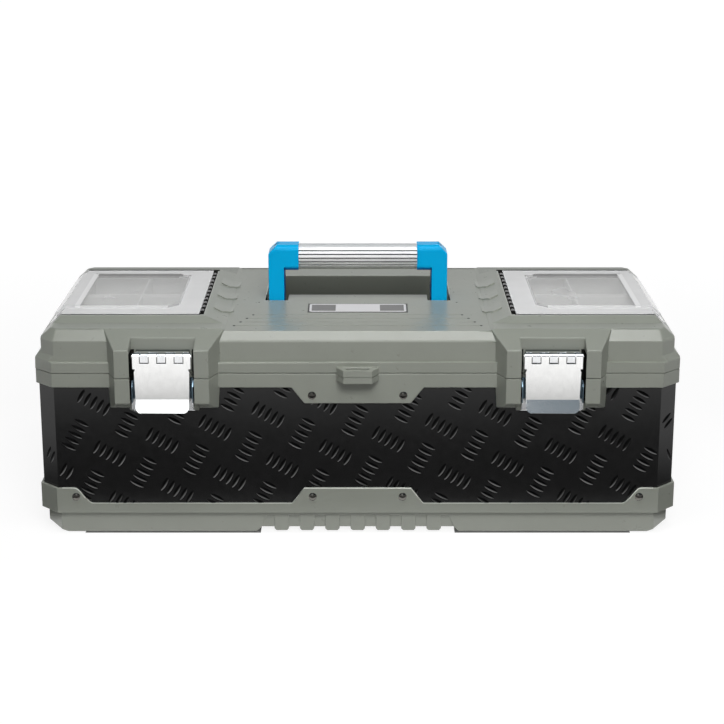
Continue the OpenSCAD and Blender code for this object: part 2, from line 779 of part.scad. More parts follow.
module lid_shell() {
    color(grey) difference() {
        union() {
            difference() {
                union() {
                    lid_rim();
                    middle_top(0);
                    both_ends() end_zone();
                    for (side = [-1, 1]) translate([side * latch_x, 0, 0]) lid_surround();
                }
                middle_top(wall);
            }
            well_tub();
            translate([0, 0, lid_z]) linear_extrude(eye_up - seam_gap / 2) eye_plan();
            for (side = [-1, 1]) translate([side * latch_x, 0, 0])
                hinge_knuckle(-hinge_mid / 2, hinge_mid / 2, lid_z, seam_z + hinge_r);
        }
        well_space();
        both_ends() {
            // Opening and rebate for the bin, then the rebate and hinge trench for the cover
            block([pocket_in_x, -pocket_half, bin_z], [pocket_out_x, pocket_half, deck_z + 5]);
            block([pocket_in_x - bin_flange, -pocket_half - bin_flange, flange_z - seat_gap],
                [pocket_out_x + bin_flange, pocket_half + bin_flange, deck_z + 5]);
            along_y(-cover_half - cover_gap, cover_half + cover_gap)
                polygon(cover_band(cover_inner_x - 1, 4, 4 + cover_t + cover_gap, flap_drop + 1.5));
            difference() {
                block([trench_inner_x, -cover_half - cover_gap, cover_axis_z - knuckle_r - 0.6],
                    [cover_inner_x, cover_half + cover_gap, deck_z + 5]);
                knuckle_row(0, knuckle_count + 1, 0.5) cover_ear(cover_axis_x - knuckle_r - 2);
            }
            rod_y(cover_pin_r + pin_fit, -cover_half + 2, cover_half - 2, cover_axis_x, cover_axis_z);
            rod_x(pivot_r + pin_fit, slot_in - boss_t + 1.5, well_half + boss_t - 1.5, pivot_y, pivot_z);
        }
        for (side = [-1, 1]) translate([side * latch_x, 0, 0]) {
            block([-recess_width / 2, -surround_y - 1, lid_z - 1],
                [recess_width / 2, -recess_y, zone_z + 1]);
            for (dx = [-latch_rivet_x, latch_rivet_x])
                rod_y(latch_rivet_r + pin_fit, -half_y - 1, -half_y + 12, dx, leaf_rivet_z);
        }
        block([-plate_len / 2 - 0.3, -plate_front - plate_width / 2 - 0.3, top_z - plate_t + 0.3],
            [plate_len / 2 + 0.3, -plate_front + plate_width / 2 + 0.3, top_z + 1]);
        for (i = [0:3]) {
            y = -plate_front - plate_width / 2 - 10.6 - i * groove_pitch;
            x = 108.7 + 5.75 * i;
            block([-x, y - groove_width / 2, top_z - groove_depth], [x, y + groove_width / 2, top_z + 1]);
        }
    }
}

// One hinge ear of the lid or the cover, seen along Y, joined sideways to x_root
module cover_ear(x_root) {
    len = knuckle_span - 0.5;
    translate([cover_axis_x, 0, cover_axis_z]) rotate([-90, 0, 0]) cylinder(r = knuckle_r, h = len);
    x0 = min(x_root, cover_axis_x);
    x1 = max(x_root, cover_axis_x);
    low = x_root < cover_axis_x ? cover_axis_z - knuckle_r - 1 : cover_z - cover_t;
    high = x_root < cover_axis_x ? cover_axis_z : cover_z;
    block([x0, 0, low], [x1, len, high]);
}

module label_plate() {
    color("gray") block([-plate_len / 2, -plate_front - plate_width / 2, top_z - plate_t + 0.3],
        [plate_len / 2, -plate_front + plate_width / 2, top_z + 0.3]);
}

// ---- Organisers ----

// A tub that hangs in the deck by its flange
module organiser_bin() {
    x0 = pocket_in_x + seat_gap;
    x1 = pocket_out_x - seat_gap;
    y1 = pocket_half - seat_gap;
    z1 = pocket_top - seat_gap;
    f = bin_flange;
    color([0.75, 0.76, 0.76]) difference() {
        union() {
            block([x0, -y1, bin_z], [x1, y1, z1]);
            block([x0 - f, -y1 - f, flange_z], [x1 + f, y1 + f, z1]);
        }
        block([x0 + bin_wall, bin_wall - y1, bin_z + bin_wall], [x1 - bin_wall, y1 - bin_wall, z1 + 1]);
    }
}

// Two crossed plates that part a bin into four cells
module bin_divider() {
    x = (pocket_out_x - pocket_in_x) / 2 - bin_wall - 2 * seat_gap;
    y = pocket_half - bin_wall - 2 * seat_gap;
    z0 = bin_z + bin_wall + seat_gap;
    z1 = pocket_top - 1;
    color([0.75, 0.76, 0.76]) translate([divider_x, 0, 0]) {
        block([-divider_t / 2, -y, z0], [divider_t / 2, y, z1]);
        block([-x, -divider_t / 2, z0], [x, divider_t / 2, z1]);
    }
}

module right_organiser_bin() {
    organiser_bin();
}

module left_organiser_bin() {
    mirror([1, 0, 0]) organiser_bin();
}

module right_bin_divider() {
    bin_divider();
}

module left_bin_divider() {
    mirror([1, 0, 0]) bin_divider();
}

// Plan of the raised panel, its inner corners cut off
module panel_plan(inset) {
    x0 = panel_in_x + inset;
    y = panel_half - inset;
    polygon([[x0 + panel_cut, -y], [half_x, -y], [half_x, y], [x0 + panel_cut, y],
        [x0, y - panel_cut], [x0, panel_cut - y]]);
}

module organiser_cover() {
    color(clear) difference() {
        union() {
            along_y(-cover_half, cover_half) polygon(cover_band(cover_inner_x, 0, cover_t, flap_drop));
            intersection() {
                along_y(-panel_half, panel_half)
                    polygon(cover_band(panel_in_x, panel_h, panel_h + cover_t / 2, flap_drop - 2));
                translate([0, 0, seam_z]) linear_extrude(100) panel_plan(0);
            }
            knuckle_row(1, knuckle_count, 0.5) cover_ear(cover_inner_x + 1);
        }
        intersection() {
            along_y(-panel_half, panel_half) polygon(cover_band(panel_in_x, panel_h - cover_t,
                panel_h + cover_t, flap_drop - 2 - cover_t));
            translate([0, 0, seam_z]) linear_extrude(100) panel_plan(cover_t);
        }
        rod_y(cover_pin_r + pin_fit, -cover_half, cover_half, cover_axis_x, cover_axis_z);
    }
}

module right_organiser_cover() {
    organiser_cover();
}

module left_organiser_cover() {
    mirror([1, 0, 0]) organiser_cover();
}

module organiser_hinge_pins() {
    color(steel) both_ends()
        rod_y(cover_pin_r, -cover_half + 2.5, cover_half - 2.5, cover_axis_x, cover_axis_z);
}

// ---- Handle ----

module handle_tube() {
    groove_r = 0.8;
    color([0.86, 0.86, 0.86]) translate([-tube_half + 0.1, pivot_y, tube_z]) rotate([90, 0, 90])
        linear_extrude(2 * tube_half - 0.2) difference() {
            circle(r = tube_r);
            circle(r = tube_r - tube_wall);
            for (a = [-36:18:216]) if (a < 60 || a > 120)
                rotate(a) translate([tube_r + groove_r / 3, 0]) circle(r = groove_r, $fn = 24);
        }
}

// Side view of the leg: round about the pivot below, like the sleeve about the tube above
module leg_outline() {
    translate([pivot_y, pivot_z]) circle(r = end_half);
    translate([pivot_y - end_half, pivot_z]) square([2 * end_half, handle_rise]);
    sleeve_outline();
}

module sleeve_outline() {
    r = end_round;
    translate([pivot_y, tube_z]) {
        square([2 * end_half, 2 * (end_half - r)], center = true);
        square([2 * (end_half - r), 2 * end_half], center = true);
        for (a = [0:90:270]) rotate(a) translate([end_half - r, end_half - r]) circle(r = r);
    }
}

module handle_end() {
    top = tube_z + end_half;
    color(blue) difference() {
        union() {
            intersection() {
                along_x(leg_in, handle_half) leg_outline();
                along_y(-case_depth, case_depth) polygon([[leg_in, 0], [handle_half, 0],
                    [handle_half, top - shoulder_cut], [handle_half - shoulder_cut, top], [leg_in, top]]);
            }
            along_x(tube_half, leg_in + eps) sleeve_outline();
            rod_x(spigot_r, tube_half - spigot_len, tube_half + 1, pivot_y, tube_z);
        }
        rod_x(pivot_r + pin_fit, leg_in - 1, handle_half + 1, pivot_y, pivot_z);
        translate([handle_half - leg_width / 2, pivot_y, top - screw_sink - screw_head]) {
            cylinder(r = screw_r + pin_fit, h = screw_sink + screw_head + 1);
            translate([0, 0, -screw_len - 1]) cylinder(r = screw_r / 2 + pin_fit, h = screw_len + 2);
        }
    }
}

module right_handle_end() {
    handle_end();
}

module left_handle_end() {
    mirror([1, 0, 0]) handle_end();
}

module handle_pivot_pins() {
    color(steel) both_ends()
        rod_x(pivot_r, slot_in - boss_t + 2, well_half + boss_t - 2, pivot_y, pivot_z);
}

module handle_screws() {
    top = tube_z + end_half;
    color("dimgray") both_ends()
        translate([handle_half - leg_width / 2, pivot_y, top - screw_sink - screw_head]) {
            difference() {
                cylinder(r = screw_r, h = screw_head);
                for (a = [0, 90]) rotate(a)
                    block([-screw_r * 0.6, -0.4, screw_head / 2], [screw_r * 0.6, 0.4, screw_head + 1]);
            }
            translate([0, 0, -screw_len]) cylinder(r = screw_r / 2, h = screw_len + eps);
        }
}

// ---- Latches, each drawn about its own centre ----

// Pieces of hinge barrel beside the three fingers
module lever_barrels() {
    w = lever_width / 2;
    g = finger_width / 2 + finger_gap;
    edges = [[-w, -finger_pitch - g], [-finger_pitch + g, -g], [g, finger_pitch - g], [finger_pitch + g, w]];
    for (e = edges) rod_x(latch_knuckle_r, e[0], e[1], -latch_pin_y, latch_pin_z);
}

module lever_outline() {
    w = lever_width / 2;
    l = lever_low_width / 2;
    notch_z = seam_z + 7.5;
    bend_z = latch_pin_z - lip_bend;
    polygon([[-w, latch_pin_z], [w, latch_pin_z], [w, notch_z + 1.6], [l - 0.8, notch_z + 1.6],
        [l - 0.8, notch_z], [l, notch_z - 1], [l - 1, bend_z], [1 - l, bend_z],
        [-l, notch_z - 1], [0.8 - l, notch_z], [0.8 - l, notch_z + 1.6], [-w, notch_z + 1.6]]);
}

module latch_lever() {
    l = lever_low_width / 2;
    bend_z = latch_pin_z - lip_bend;
    edge_z = latch_pin_z - lip_edge;
    color(steel) difference() {
        union() {
            lever_barrels();
            along_y(-lever_y, -lever_y + lever_t) lever_outline();
            // Lip bent forward, its corners rounded
            intersection() {
                along_x(-l + 1, l - 1) polygon([[-lever_y, bend_z + 0.5], [-lever_y - lip_reach, edge_z],
                    [-lever_y - lip_reach + lever_t, edge_z], [-lever_y + lever_t, bend_z + 0.5]]);
                along_y(-lever_y - lip_reach - 1, -lever_y + lever_t + 1) {
                    translate([1 - l, edge_z + lip_corner]) square([2 * l - 2, lip_edge]);
                    translate([1 - l + lip_corner, edge_z]) square([2 * l - 2 - 2 * lip_corner, lip_edge]);
                    for (k = [-1, 1]) translate([k * (l - 1 - lip_corner), edge_z + lip_corner])
                        circle(r = lip_corner);
                }
            }
            // Side flanges bent back
            for (k = [-1, 1]) translate([k * (l - 1 - lever_t / 2), 0, 0])
                block([-lever_t / 2, -lever_y, bend_z + 3], [lever_t / 2, -lever_y + 8, seam_z + 2]);
        }
        rod_x(latch_pin_r + pin_fit, -lever_width, lever_width, -latch_pin_y, latch_pin_z);
        // Windows that the leaf's fingers stand in, with room for their tips to pass
        for (k = [-1:1]) translate([k * finger_pitch, -lever_y, latch_pin_z])
            block([-finger_width / 2 - finger_gap, -1, -finger_drop - tip_gap],
                [finger_width / 2 + finger_gap, 8, latch_knuckle_r + 1]);
    }
}

// Leaf on the lid: a riveted plate, a flange over the hinge, and fingers that wrap the pin
module latch_leaf() {
    wall_y = -recess_y;
    h = 18;
    w = lever_width / 2 - 2;
    f = finger_width / 2;
    top = latch_pin_z + latch_knuckle_r;
    flange_y = -latch_pin_y + latch_knuckle_r + finger_gap;
    relief = 2;
    color(steel) difference() {
        union() {
            block([-w, wall_y - lever_t, latch_pin_z - h], [w, wall_y, top]);
            block([-w, flange_y, top - lever_t], [w, wall_y - eps, top]);
            for (k = [-1:1]) translate([k * finger_pitch, 0, 0]) {
                rod_x(latch_knuckle_r, -f, f, -latch_pin_y, latch_pin_z);
                block([-f, -latch_pin_y, top - lever_t], [f, wall_y - eps, top]);
                block([-f, -lever_y, latch_pin_z - finger_drop], [f, lever_t - lever_y, latch_pin_z]);
            }
        }
        for (k = [-1:1], side = [-1, 1]) translate([k * finger_pitch + side * (f + finger_gap), 0, 0])
            block([-finger_gap, flange_y - 1, top - 2 * lever_t], [finger_gap, flange_y + relief, top + 1]);
        rod_x(latch_pin_r + pin_fit, -lever_width, lever_width, -latch_pin_y, latch_pin_z);
        for (dx = [-latch_rivet_x, latch_rivet_x])
            rod_y(latch_rivet_r + pin_fit, -half_y - 20, 0, dx, leaf_rivet_z);
    }
}

// Keeper on the collar: a riveted plate, two cheeks beside the lever and a folded catch
module latch_bracket() {
    cheek_y = -lever_y + 1;
    catch_y = -half_y - catch_reach;
    color(steel) difference() {
        union() {
            block([-cheek_in - lever_t, -half_y - lever_t, bracket_z0],
                [cheek_in + lever_t, -half_y, bracket_z1]);
            for (k = [-1, 1]) translate([k * (cheek_in + lever_t / 2), 0, 0])
                along_x(-lever_t / 2, lever_t / 2) polygon([[-half_y - eps, bracket_z0],
                    [cheek_y, bracket_z0 + cheek_rise], [cheek_y, bracket_z1 - 6],
                    [cheek_y + 6, bracket_z1], [-half_y - eps, bracket_z1]]);
            along_x(-cheek_in + 6, cheek_in - 6) polygon([[-half_y - eps, bracket_z1],
                [catch_y, bracket_z1], [catch_y, bracket_z1 - 5], [catch_y + lever_t, bracket_z1 - 5],
                [catch_y + lever_t, bracket_z1 - lever_t], [-half_y - eps, bracket_z1 - lever_t]]);
        }
        for (dx = [-latch_rivet_x, latch_rivet_x])
            rod_y(latch_rivet_r + pin_fit, -half_y - 20, 0, dx, bracket_rivet_z);
    }
}

module right_latch_lever() {
    translate([latch_x, 0, 0]) latch_lever();
}

module left_latch_lever() {
    translate([-latch_x, 0, 0]) latch_lever();
}

module right_latch_leaf() {
    translate([latch_x, 0, 0]) latch_leaf();
}

module left_latch_leaf() {
    translate([-latch_x, 0, 0]) latch_leaf();
}

module right_latch_bracket() {
    translate([latch_x, 0, 0]) latch_bracket();
}

module left_latch_bracket() {
    translate([-latch_x, 0, 0]) latch_bracket();
}

module latch_hinge_pins() {
    color("silver") for (side = [-1, 1])
        rod_x(latch_pin_r, side * latch_x - lever_width / 2 - 0.8, side * latch_x + lever_width / 2 + 0.8,
            -latch_pin_y, latch_pin_z);
}

module latch_leaf_rivets() {
    color(steel) for (side = [-1, 1], dx = [-latch_rivet_x, latch_rivet_x])
        rivet(side * latch_x + dx, leaf_rivet_z, recess_y + lever_t, half_y - face_inset - wall,
            latch_rivet_r, 3, 1);
}

module latch_bracket_rivets() {
    color(steel) for (side = [-1, 1], dx = [-latch_rivet_x, latch_rivet_x])
        rivet(side * latch_x + dx, bracket_rivet_z, half_y + lever_t, half_y - sheet_inset - sheet_t,
            latch_rivet_r, 3, 1);
}

// ---- Tray ----

module tote_tray() {
    color([0.3, 0.31, 0.31]) difference() {
        union() {
            block([-tray_half, -tray_half_y, tray_z0], [tray_half, tray_half_y, tray_z1]);
            front_and_back() block([-tray_half, tray_half_y - 1, tray_ledge_z + seat_gap],
                [tray_half, half_y - collar_width - 1, tray_ledge_z + seat_gap + tray_wall]);
        }
        front_and_back() block([-tray_half + tray_wall, tray_wall / 2, tray_z0 + tray_wall],
            [tray_half - tray_wall, tray_half_y - tray_wall, tray_z1 + 1]);
        // The spine between the two halves is cut down beside the grip and open below it
        both_ends() block([grip_half, -tray_wall, tray_z0 + 25],
            [tray_half - tray_wall, tray_wall, tray_z1 + 1]);
        block([-grip_half + 8, -tray_wall, grip_z - grip_r - 18],
            [grip_half - 8, tray_wall, grip_z - grip_r]);
        block([-grip_half - 1, -tray_wall, grip_z + grip_r - 4], [grip_half + 1, tray_wall, tray_z1 + 1]);
    }
}

module tray_grip() {
    color(dark) difference() {
        rod_x(grip_r, -grip_half, grip_half, 0, grip_z);
        block([-grip_half - 1, -tray_wall / 2 - pin_fit, grip_z - grip_r - 1],
            [grip_half + 1, tray_wall / 2 + pin_fit, grip_z + grip_r - 3.8]);
    }
}

base_pan();
body_sheet();
top_collar();
collar_rivets();
base_rivets();
lid_hinge_pins();
lid_shell();
label_plate();
left_organiser_bin();
right_organiser_bin();
left_bin_divider();
right_bin_divider();
left_organiser_cover();
right_organiser_cover();
organiser_hinge_pins();
handle_tube();
left_handle_end();
right_handle_end();
handle_pivot_pins();
handle_screws();
left_latch_lever();
right_latch_lever();
left_latch_leaf();
right_latch_leaf();
latch_hinge_pins();
latch_leaf_rivets();
left_latch_bracket();
right_latch_bracket();
latch_bracket_rivets();
tote_tray();
tray_grip();
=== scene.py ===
import json
import math

import bmesh
import bpy
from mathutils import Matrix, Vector
from mathutils.kdtree import KDTree


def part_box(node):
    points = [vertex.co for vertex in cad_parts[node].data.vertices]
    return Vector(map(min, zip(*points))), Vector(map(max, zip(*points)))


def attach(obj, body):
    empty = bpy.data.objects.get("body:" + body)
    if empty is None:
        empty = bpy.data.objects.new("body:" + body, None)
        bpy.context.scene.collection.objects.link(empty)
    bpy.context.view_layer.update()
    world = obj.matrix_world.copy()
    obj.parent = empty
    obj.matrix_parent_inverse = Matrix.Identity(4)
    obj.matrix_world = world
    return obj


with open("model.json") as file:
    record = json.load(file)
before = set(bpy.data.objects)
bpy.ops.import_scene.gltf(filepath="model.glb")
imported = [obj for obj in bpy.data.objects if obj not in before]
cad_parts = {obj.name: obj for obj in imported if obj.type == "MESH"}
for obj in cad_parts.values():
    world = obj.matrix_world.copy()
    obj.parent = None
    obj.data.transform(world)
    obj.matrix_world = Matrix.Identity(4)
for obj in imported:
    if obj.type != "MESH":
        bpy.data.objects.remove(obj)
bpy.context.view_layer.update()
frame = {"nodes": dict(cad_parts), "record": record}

# Lengths are in millimetres and are scaled to metres as meshes are made. Only the lights, the
# camera and the floor's glow, in the last section, are in metres.
MM = 0.001
NODES = frame["nodes"]


def corners(node):
    """Lowest and highest corner of a CAD node, in millimetres."""
    low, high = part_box(node)
    return low / MM, high / MM


lid_high = corners("lid_shell")[1]
collar_high = corners("top_collar")[1]
base_high = corners("base_pan")[1]
sheet_high = corners("body_sheet")[1]
plate_low, plate_high = corners("label_plate")
cover_low, cover_high = corners("right_organiser_cover")

# Steps of the lid, edges of the covers and the grip tube, as in part.scad
HALF_SEAM_GAP = 0.25
PLATE_PROUD = 0.3
ZONE_RISE = 1.8
DECK_RISE = 6.6
SEAM_Z = collar_high.z + HALF_SEAM_GAP
LID_TOP = plate_high.z - PLATE_PROUD
ZONE_TOP = LID_TOP + ZONE_RISE
DECK_TOP = LID_TOP + DECK_RISE
DECK_BREAK_X = 139.0
DECK_INNER_X = 157.0
COVER_INNER_X = 164.5
COVER_OUTER_X = 307.9
COVER_HALF = 99.0
COVER_PANEL_RISE = 2.7
TUBE_Y = 4.5
TUBE_Z = 261.0
TUBE_R = 13.4


# ---------------------------------------------------------------- material nodes

# Nearly all of a noise's values lie between these
NOISE_LOW = 0.3
NOISE_HIGH = 0.7


def new_material(name):
    """A node material, its tree and its Principled shader."""
    material = bpy.data.materials.new(name)
    material.use_nodes = True
    tree = material.node_tree
    return material, tree, tree.nodes["Principled BSDF"]


def object_coordinates(tree):
    return tree.nodes.new("ShaderNodeTexCoord").outputs["Object"]


def separated(tree, vector):
    """The X, Y and Z sockets of a vector."""
    axes = tree.nodes.new("ShaderNodeSeparateXYZ")
    tree.links.new(vector, axes.inputs[0])
    return axes.outputs


def scaled(tree, vector, scale):
    """The coordinates stretched by a different scale on each axis."""
    mapping = tree.nodes.new("ShaderNodeMapping")
    mapping.inputs["Scale"].default_value = scale
    tree.links.new(vector, mapping.inputs["Vector"])
    return mapping.outputs["Vector"]


def noise(tree, vector, size, detail, roughness):
    """Noise whose features are about this many millimetres across."""
    node = tree.nodes.new("ShaderNodeTexNoise")
    node.inputs["Scale"].default_value = 1 / (size * MM)
    node.inputs["Detail"].default_value = detail
    node.inputs["Roughness"].default_value = roughness
    tree.links.new(vector, node.inputs["Vector"])
    return node.outputs["Fac"]


def remap(tree, value, from_low, from_high, to_low, to_high, smooth=False):
    node = tree.nodes.new("ShaderNodeMapRange")
    node.interpolation_type = "SMOOTHSTEP" if smooth else "LINEAR"
    node.inputs["From Min"].default_value = from_low
    node.inputs["From Max"].default_value = from_high
    node.inputs["To Min"].default_value = to_low
    node.inputs["To Max"].default_value = to_high
    tree.links.new(value, node.inputs["Value"])
    return node.outputs["Result"]


def spread_noise(tree, value, low, high):
    """Noise turned into a value that wanders from low to high."""
    return remap(tree, value, NOISE_LOW, NOISE_HIGH, low, high)


def math_node(tree, operation, a, b=None, c=None):
    """A Math node; each input is a number or a socket."""
    node = tree.nodes.new("ShaderNodeMath")
    node.operation = operation
    for socket, value in zip(node.inputs, (a, b, c)):
        if isinstance(value, (int, float)):
            socket.default_value = value
        elif value is not None:
            tree.links.new(value, socket)
    return node.outputs[0]


def mix_colours(tree, factor, low, high):
    """A colour between two; each is a triple or a colour socket."""
    node = tree.nodes.new("ShaderNodeMix")
    node.data_type = "RGBA"
    for socket, colour in ((node.inputs["A"], low), (node.inputs["B"], high)):
        if isinstance(colour, tuple):
            socket.default_value = (*colour, 1)
        else:
            tree.links.new(colour, socket)
    tree.links.new(factor, node.inputs["Factor"])
    return node.outputs["Result"]


def bump(tree, shader, height, distance, strength=0.5):
    """Bumps of this many millimetres from a height between 0 and 1."""
    node = tree.nodes.new("ShaderNodeBump")
    node.inputs["Distance"].default_value = distance * MM
    node.inputs["Strength"].default_value = strength
    tree.links.new(height, node.inputs["Height"])
    tree.links.new(node.outputs["Normal"], shader.inputs["Normal"])


def between(tree, value, low, high):
    """1 where the value lies between two lengths in millimetres."""
    return math_node(tree, "COMPARE", value, (low + high) / 2 * MM, (high - low) / 2 * MM)


def inside_box(tree, point, box):
    """1 inside a box given in millimetres as ranges of |x|, y and z."""
    axes = separated(tree, point)
    across = math_node(tree, "ABSOLUTE", axes["X"])
    xs, ys, zs = box
    inside = math_node(tree, "MULTIPLY", between(tree, across, *xs), between(tree, axes["Y"], *ys))
    return math_node(tree, "MULTIPLY", inside, between(tree, axes["Z"], *zs))


# ---------------------------------------------------------------- materials

# Sizes of the variations on each kind of surface, in millimetres
PLASTIC_DRIFT = 60
PLASTIC_PATCHES = 9
METAL_LINES = 0.5
METAL_SPOTS = 7
SHEET_DRIFT = 45
SHEET_PATCHES = 6
SHEET_PEEL = 1.6
SHEET_PEEL_HEIGHT = 0.01
CLEAR_CLOUD = 40
CLEAR_PATCHES = 12
CLEAR_WAVES = 14
CLEAR_WAVE_HEIGHT = 0.008
SOFT_BUMP = 0.3

# Plastic: how far its patches go below and above its roughness, and how dark a painted tint has
# to be to stand for a shadowed gap, which then gets no gloss
PATCH_BELOW = 0.02
PATCH_ABOVE = 0.03
GAP_TINT = 0.07

# Grip tube: painted shade lies this deep in the flutes, and only below this height
FLUTE_EDGE = 0.18
FLUTE_TOP = 270.4
FLUTE_SHADE = (0.045, 0.045, 0.045)

# Black sheet, and how the bars pressed out of it change with the upward part of their normal:
# from and to for the normal, from and to for the gloss or for the mix with the painted shade
SHEET_BLACKS = ((0.0085, 0.0085, 0.0085), (0.0125, 0.0125, 0.0127))
SHEET_ROUGH = 0.19
TREAD_ROUGH = 0.27
SHEET_ROUGH_SPREAD = 0.07
TREAD_GLOSS = (-0.34, -0.02, 1.0, 0.04)
TREAD_SHADE_FADE = (-0.10, 0.10, 0, 1)
TREAD_TOP_SHADE = (0.0020, 0.0020, 0.0020)

# Clear covers: colour and opacity of the frame and of the raised panel
CLEAR_FRAME = (0.97, 0.97, 0.97)
CLEAR_PANEL = (1.0, 1.0, 0.99)
FRAME_OPACITY = 0.84
PANEL_OPACITY = 0.32
CLOUDINESS = 0.03
CLEAR_ROUGH = (0.10, 0.16)
STYRENE_IOR = 1.46


def plastic(name, low, high, rough, grain_size, grain_height, places=(), gloss=0.5):
    """Moulded plastic: slow colour drift, patchy gloss and a fine moulded grain. Each place is a
    box, as ranges of |x|, y and z, and the colour painted inside it: painted shade or painted
    light."""
    material, tree, shader = new_material(name)
    point = object_coordinates(tree)
    drift = noise(tree, point, PLASTIC_DRIFT, detail=4, roughness=0.6)
    colour = mix_colours(tree, spread_noise(tree, drift, 0, 1), low, high)
    shader.inputs["Specular IOR Level"].default_value = gloss
    gaps = None
    for box, tint in places:
        inside = inside_box(tree, point, box)
        colour = mix_colours(tree, inside, colour, tint)
        if max(tint) < GAP_TINT:
            gaps = inside if gaps is None else math_node(tree, "MAXIMUM", gaps, inside)
    if gaps is not None:
        tree.links.new(remap(tree, gaps, 0, 1, gloss, 0), shader.inputs["Specular IOR Level"])
    tree.links.new(colour, shader.inputs["Base Color"])
    patches = noise(tree, point, PLASTIC_PATCHES, detail=5, roughness=0.65)
    tree.links.new(spread_noise(tree, patches, rough - PATCH_BELOW, rough + PATCH_ABOVE),
                   shader.inputs["Roughness"])
    grain = noise(tree, point, grain_size, detail=2, roughness=0.5)
    bump(tree, shader, grain, grain_height)
    return material


def brushed_metal(name, low, high, rough, lay, spread=0.06, bump_height=0.003, metallic=1.0,
                  places=()):
    """Metal with fine lines along one axis; lay stretches the noise, small along the lines."""
    material, tree, shader = new_material(name)
    point = object_coordinates(tree)
    lines = noise(tree, scaled(tree, point, lay), METAL_LINES, detail=3, roughness=0.6)
    spots = noise(tree, point, METAL_SPOTS, detail=5, roughness=0.6)
    colour = mix_colours(tree, spread_noise(tree, spots, 0, 1), low, high)
    # Each place is a box, as ranges of |x|, y and z, with a painted colour such as a painted dark
    # reflection
    for box, tint in places:
        colour = mix_colours(tree, inside_box(tree, point, box), colour, tint)
    tree.links.new(colour, shader.inputs["Base Color"])
    tree.links.new(spread_noise(tree, lines, rough - spread, rough + spread),
                   shader.inputs["Roughness"])
    shader.inputs["Metallic"].default_value = metallic
    bump(tree, shader, lines, bump_height)
    return material


def fluted_tube():
    """Satin aluminium with painted shade down in the flutes, found by the distance from the axis.
    """
    material = brushed_metal("satin_aluminium", (0.93, 0.93, 0.925), (0.97, 0.97, 0.965), 0.45,
                             SIDEWAYS, spread=0.03, bump_height=0.001, metallic=0.42)
    tree = material.node_tree
    base_colour = tree.nodes["Principled BSDF"].inputs["Base Color"]
    axes = separated(tree, object_coordinates(tree))
    aside = math_node(tree, "SUBTRACT", axes["Y"], TUBE_Y * MM)
    above = math_node(tree, "SUBTRACT", axes["Z"], TUBE_Z * MM)
    squares = math_node(tree, "ADD", math_node(tree, "MULTIPLY", aside, aside),
                        math_node(tree, "MULTIPLY", above, above))
    radius = math_node(tree, "SQRT", squares)
    deep = math_node(tree, "LESS_THAN", radius, (TUBE_R - FLUTE_EDGE) * MM)
    low_down = math_node(tree, "LESS_THAN", axes["Z"], FLUTE_TOP * MM)
    flute = math_node(tree, "MULTIPLY", deep, low_down)
    bare = base_colour.links[0].from_socket
    tree.links.new(mix_colours(tree, flute, bare, FLUTE_SHADE), base_colour)
    return material


def black_sheet(name, pressed=False):
    """Black coated sheet steel: a satin coat with a faint orange peel. On the pressed bars the
    colour is darker where they face up, a painted shade, and the gloss is strong where they face
    down."""
    material, tree, shader = new_material(name)
    point = object_coordinates(tree)
    drift = noise(tree, point, SHEET_DRIFT, detail=4, roughness=0.6)
    colour = mix_colours(tree, drift, *SHEET_BLACKS)
    rough = SHEET_ROUGH
    if pressed:
        rough = TREAD_ROUGH
        upward = separated(tree, tree.nodes.new("ShaderNodeNewGeometry").outputs["Normal"])["Z"]
        tree.links.new(remap(tree, upward, *TREAD_GLOSS), shader.inputs["Specular IOR Level"])
        # Painted shade on the side of the bars that faces up
        colour = mix_colours(tree, remap(tree, upward, *TREAD_SHADE_FADE), colour, TREAD_TOP_SHADE)
    tree.links.new(colour, shader.inputs["Base Color"])
    patches = noise(tree, point, SHEET_PATCHES, detail=4, roughness=0.6)
    tree.links.new(spread_noise(tree, patches, rough, rough + SHEET_ROUGH_SPREAD),
                   shader.inputs["Roughness"])
    peel = noise(tree, point, SHEET_PEEL, detail=2, roughness=0.5)
    bump(tree, shader, peel, SHEET_PEEL_HEIGHT, SOFT_BUMP)
    return material


def clear_plastic(panel_box, places):
    """Clear styrene: a see-through raised panel in a milkier frame. The places are solid and
    hold painted shade, and painted light on the panel's outer wall.
    """
    material, tree, shader = new_material("clear_moulding")
    point = object_coordinates(tree)
    panel = inside_box(tree, point, panel_box)
    drift = noise(tree, point, CLEAR_CLOUD, detail=3, roughness=0.5)
    cloud = spread_noise(tree, drift, -CLOUDINESS, CLOUDINESS)
    colour = mix_colours(tree, panel, CLEAR_FRAME, CLEAR_PANEL)
    solid = math_node(tree, "ADD", remap(tree, panel, 0, 1, FRAME_OPACITY, PANEL_OPACITY), cloud)
    for box, tint in places:
        inside = inside_box(tree, point, box)
        colour = mix_colours(tree, inside, colour, tint)
        solid = math_node(tree, "MAXIMUM", solid, inside)
    tree.links.new(colour, shader.inputs["Base Color"])
    tree.links.new(solid, shader.inputs["Alpha"])
    shader.inputs["IOR"].default_value = STYRENE_IOR
    patches = noise(tree, point, CLEAR_PATCHES, detail=4, roughness=0.6)
    tree.links.new(spread_noise(tree, patches, *CLEAR_ROUGH), shader.inputs["Roughness"])
    waves = noise(tree, point, CLEAR_WAVES, detail=2, roughness=0.5)
    bump(tree, shader, waves, CLEAR_WAVE_HEIGHT, SOFT_BUMP)
    return material
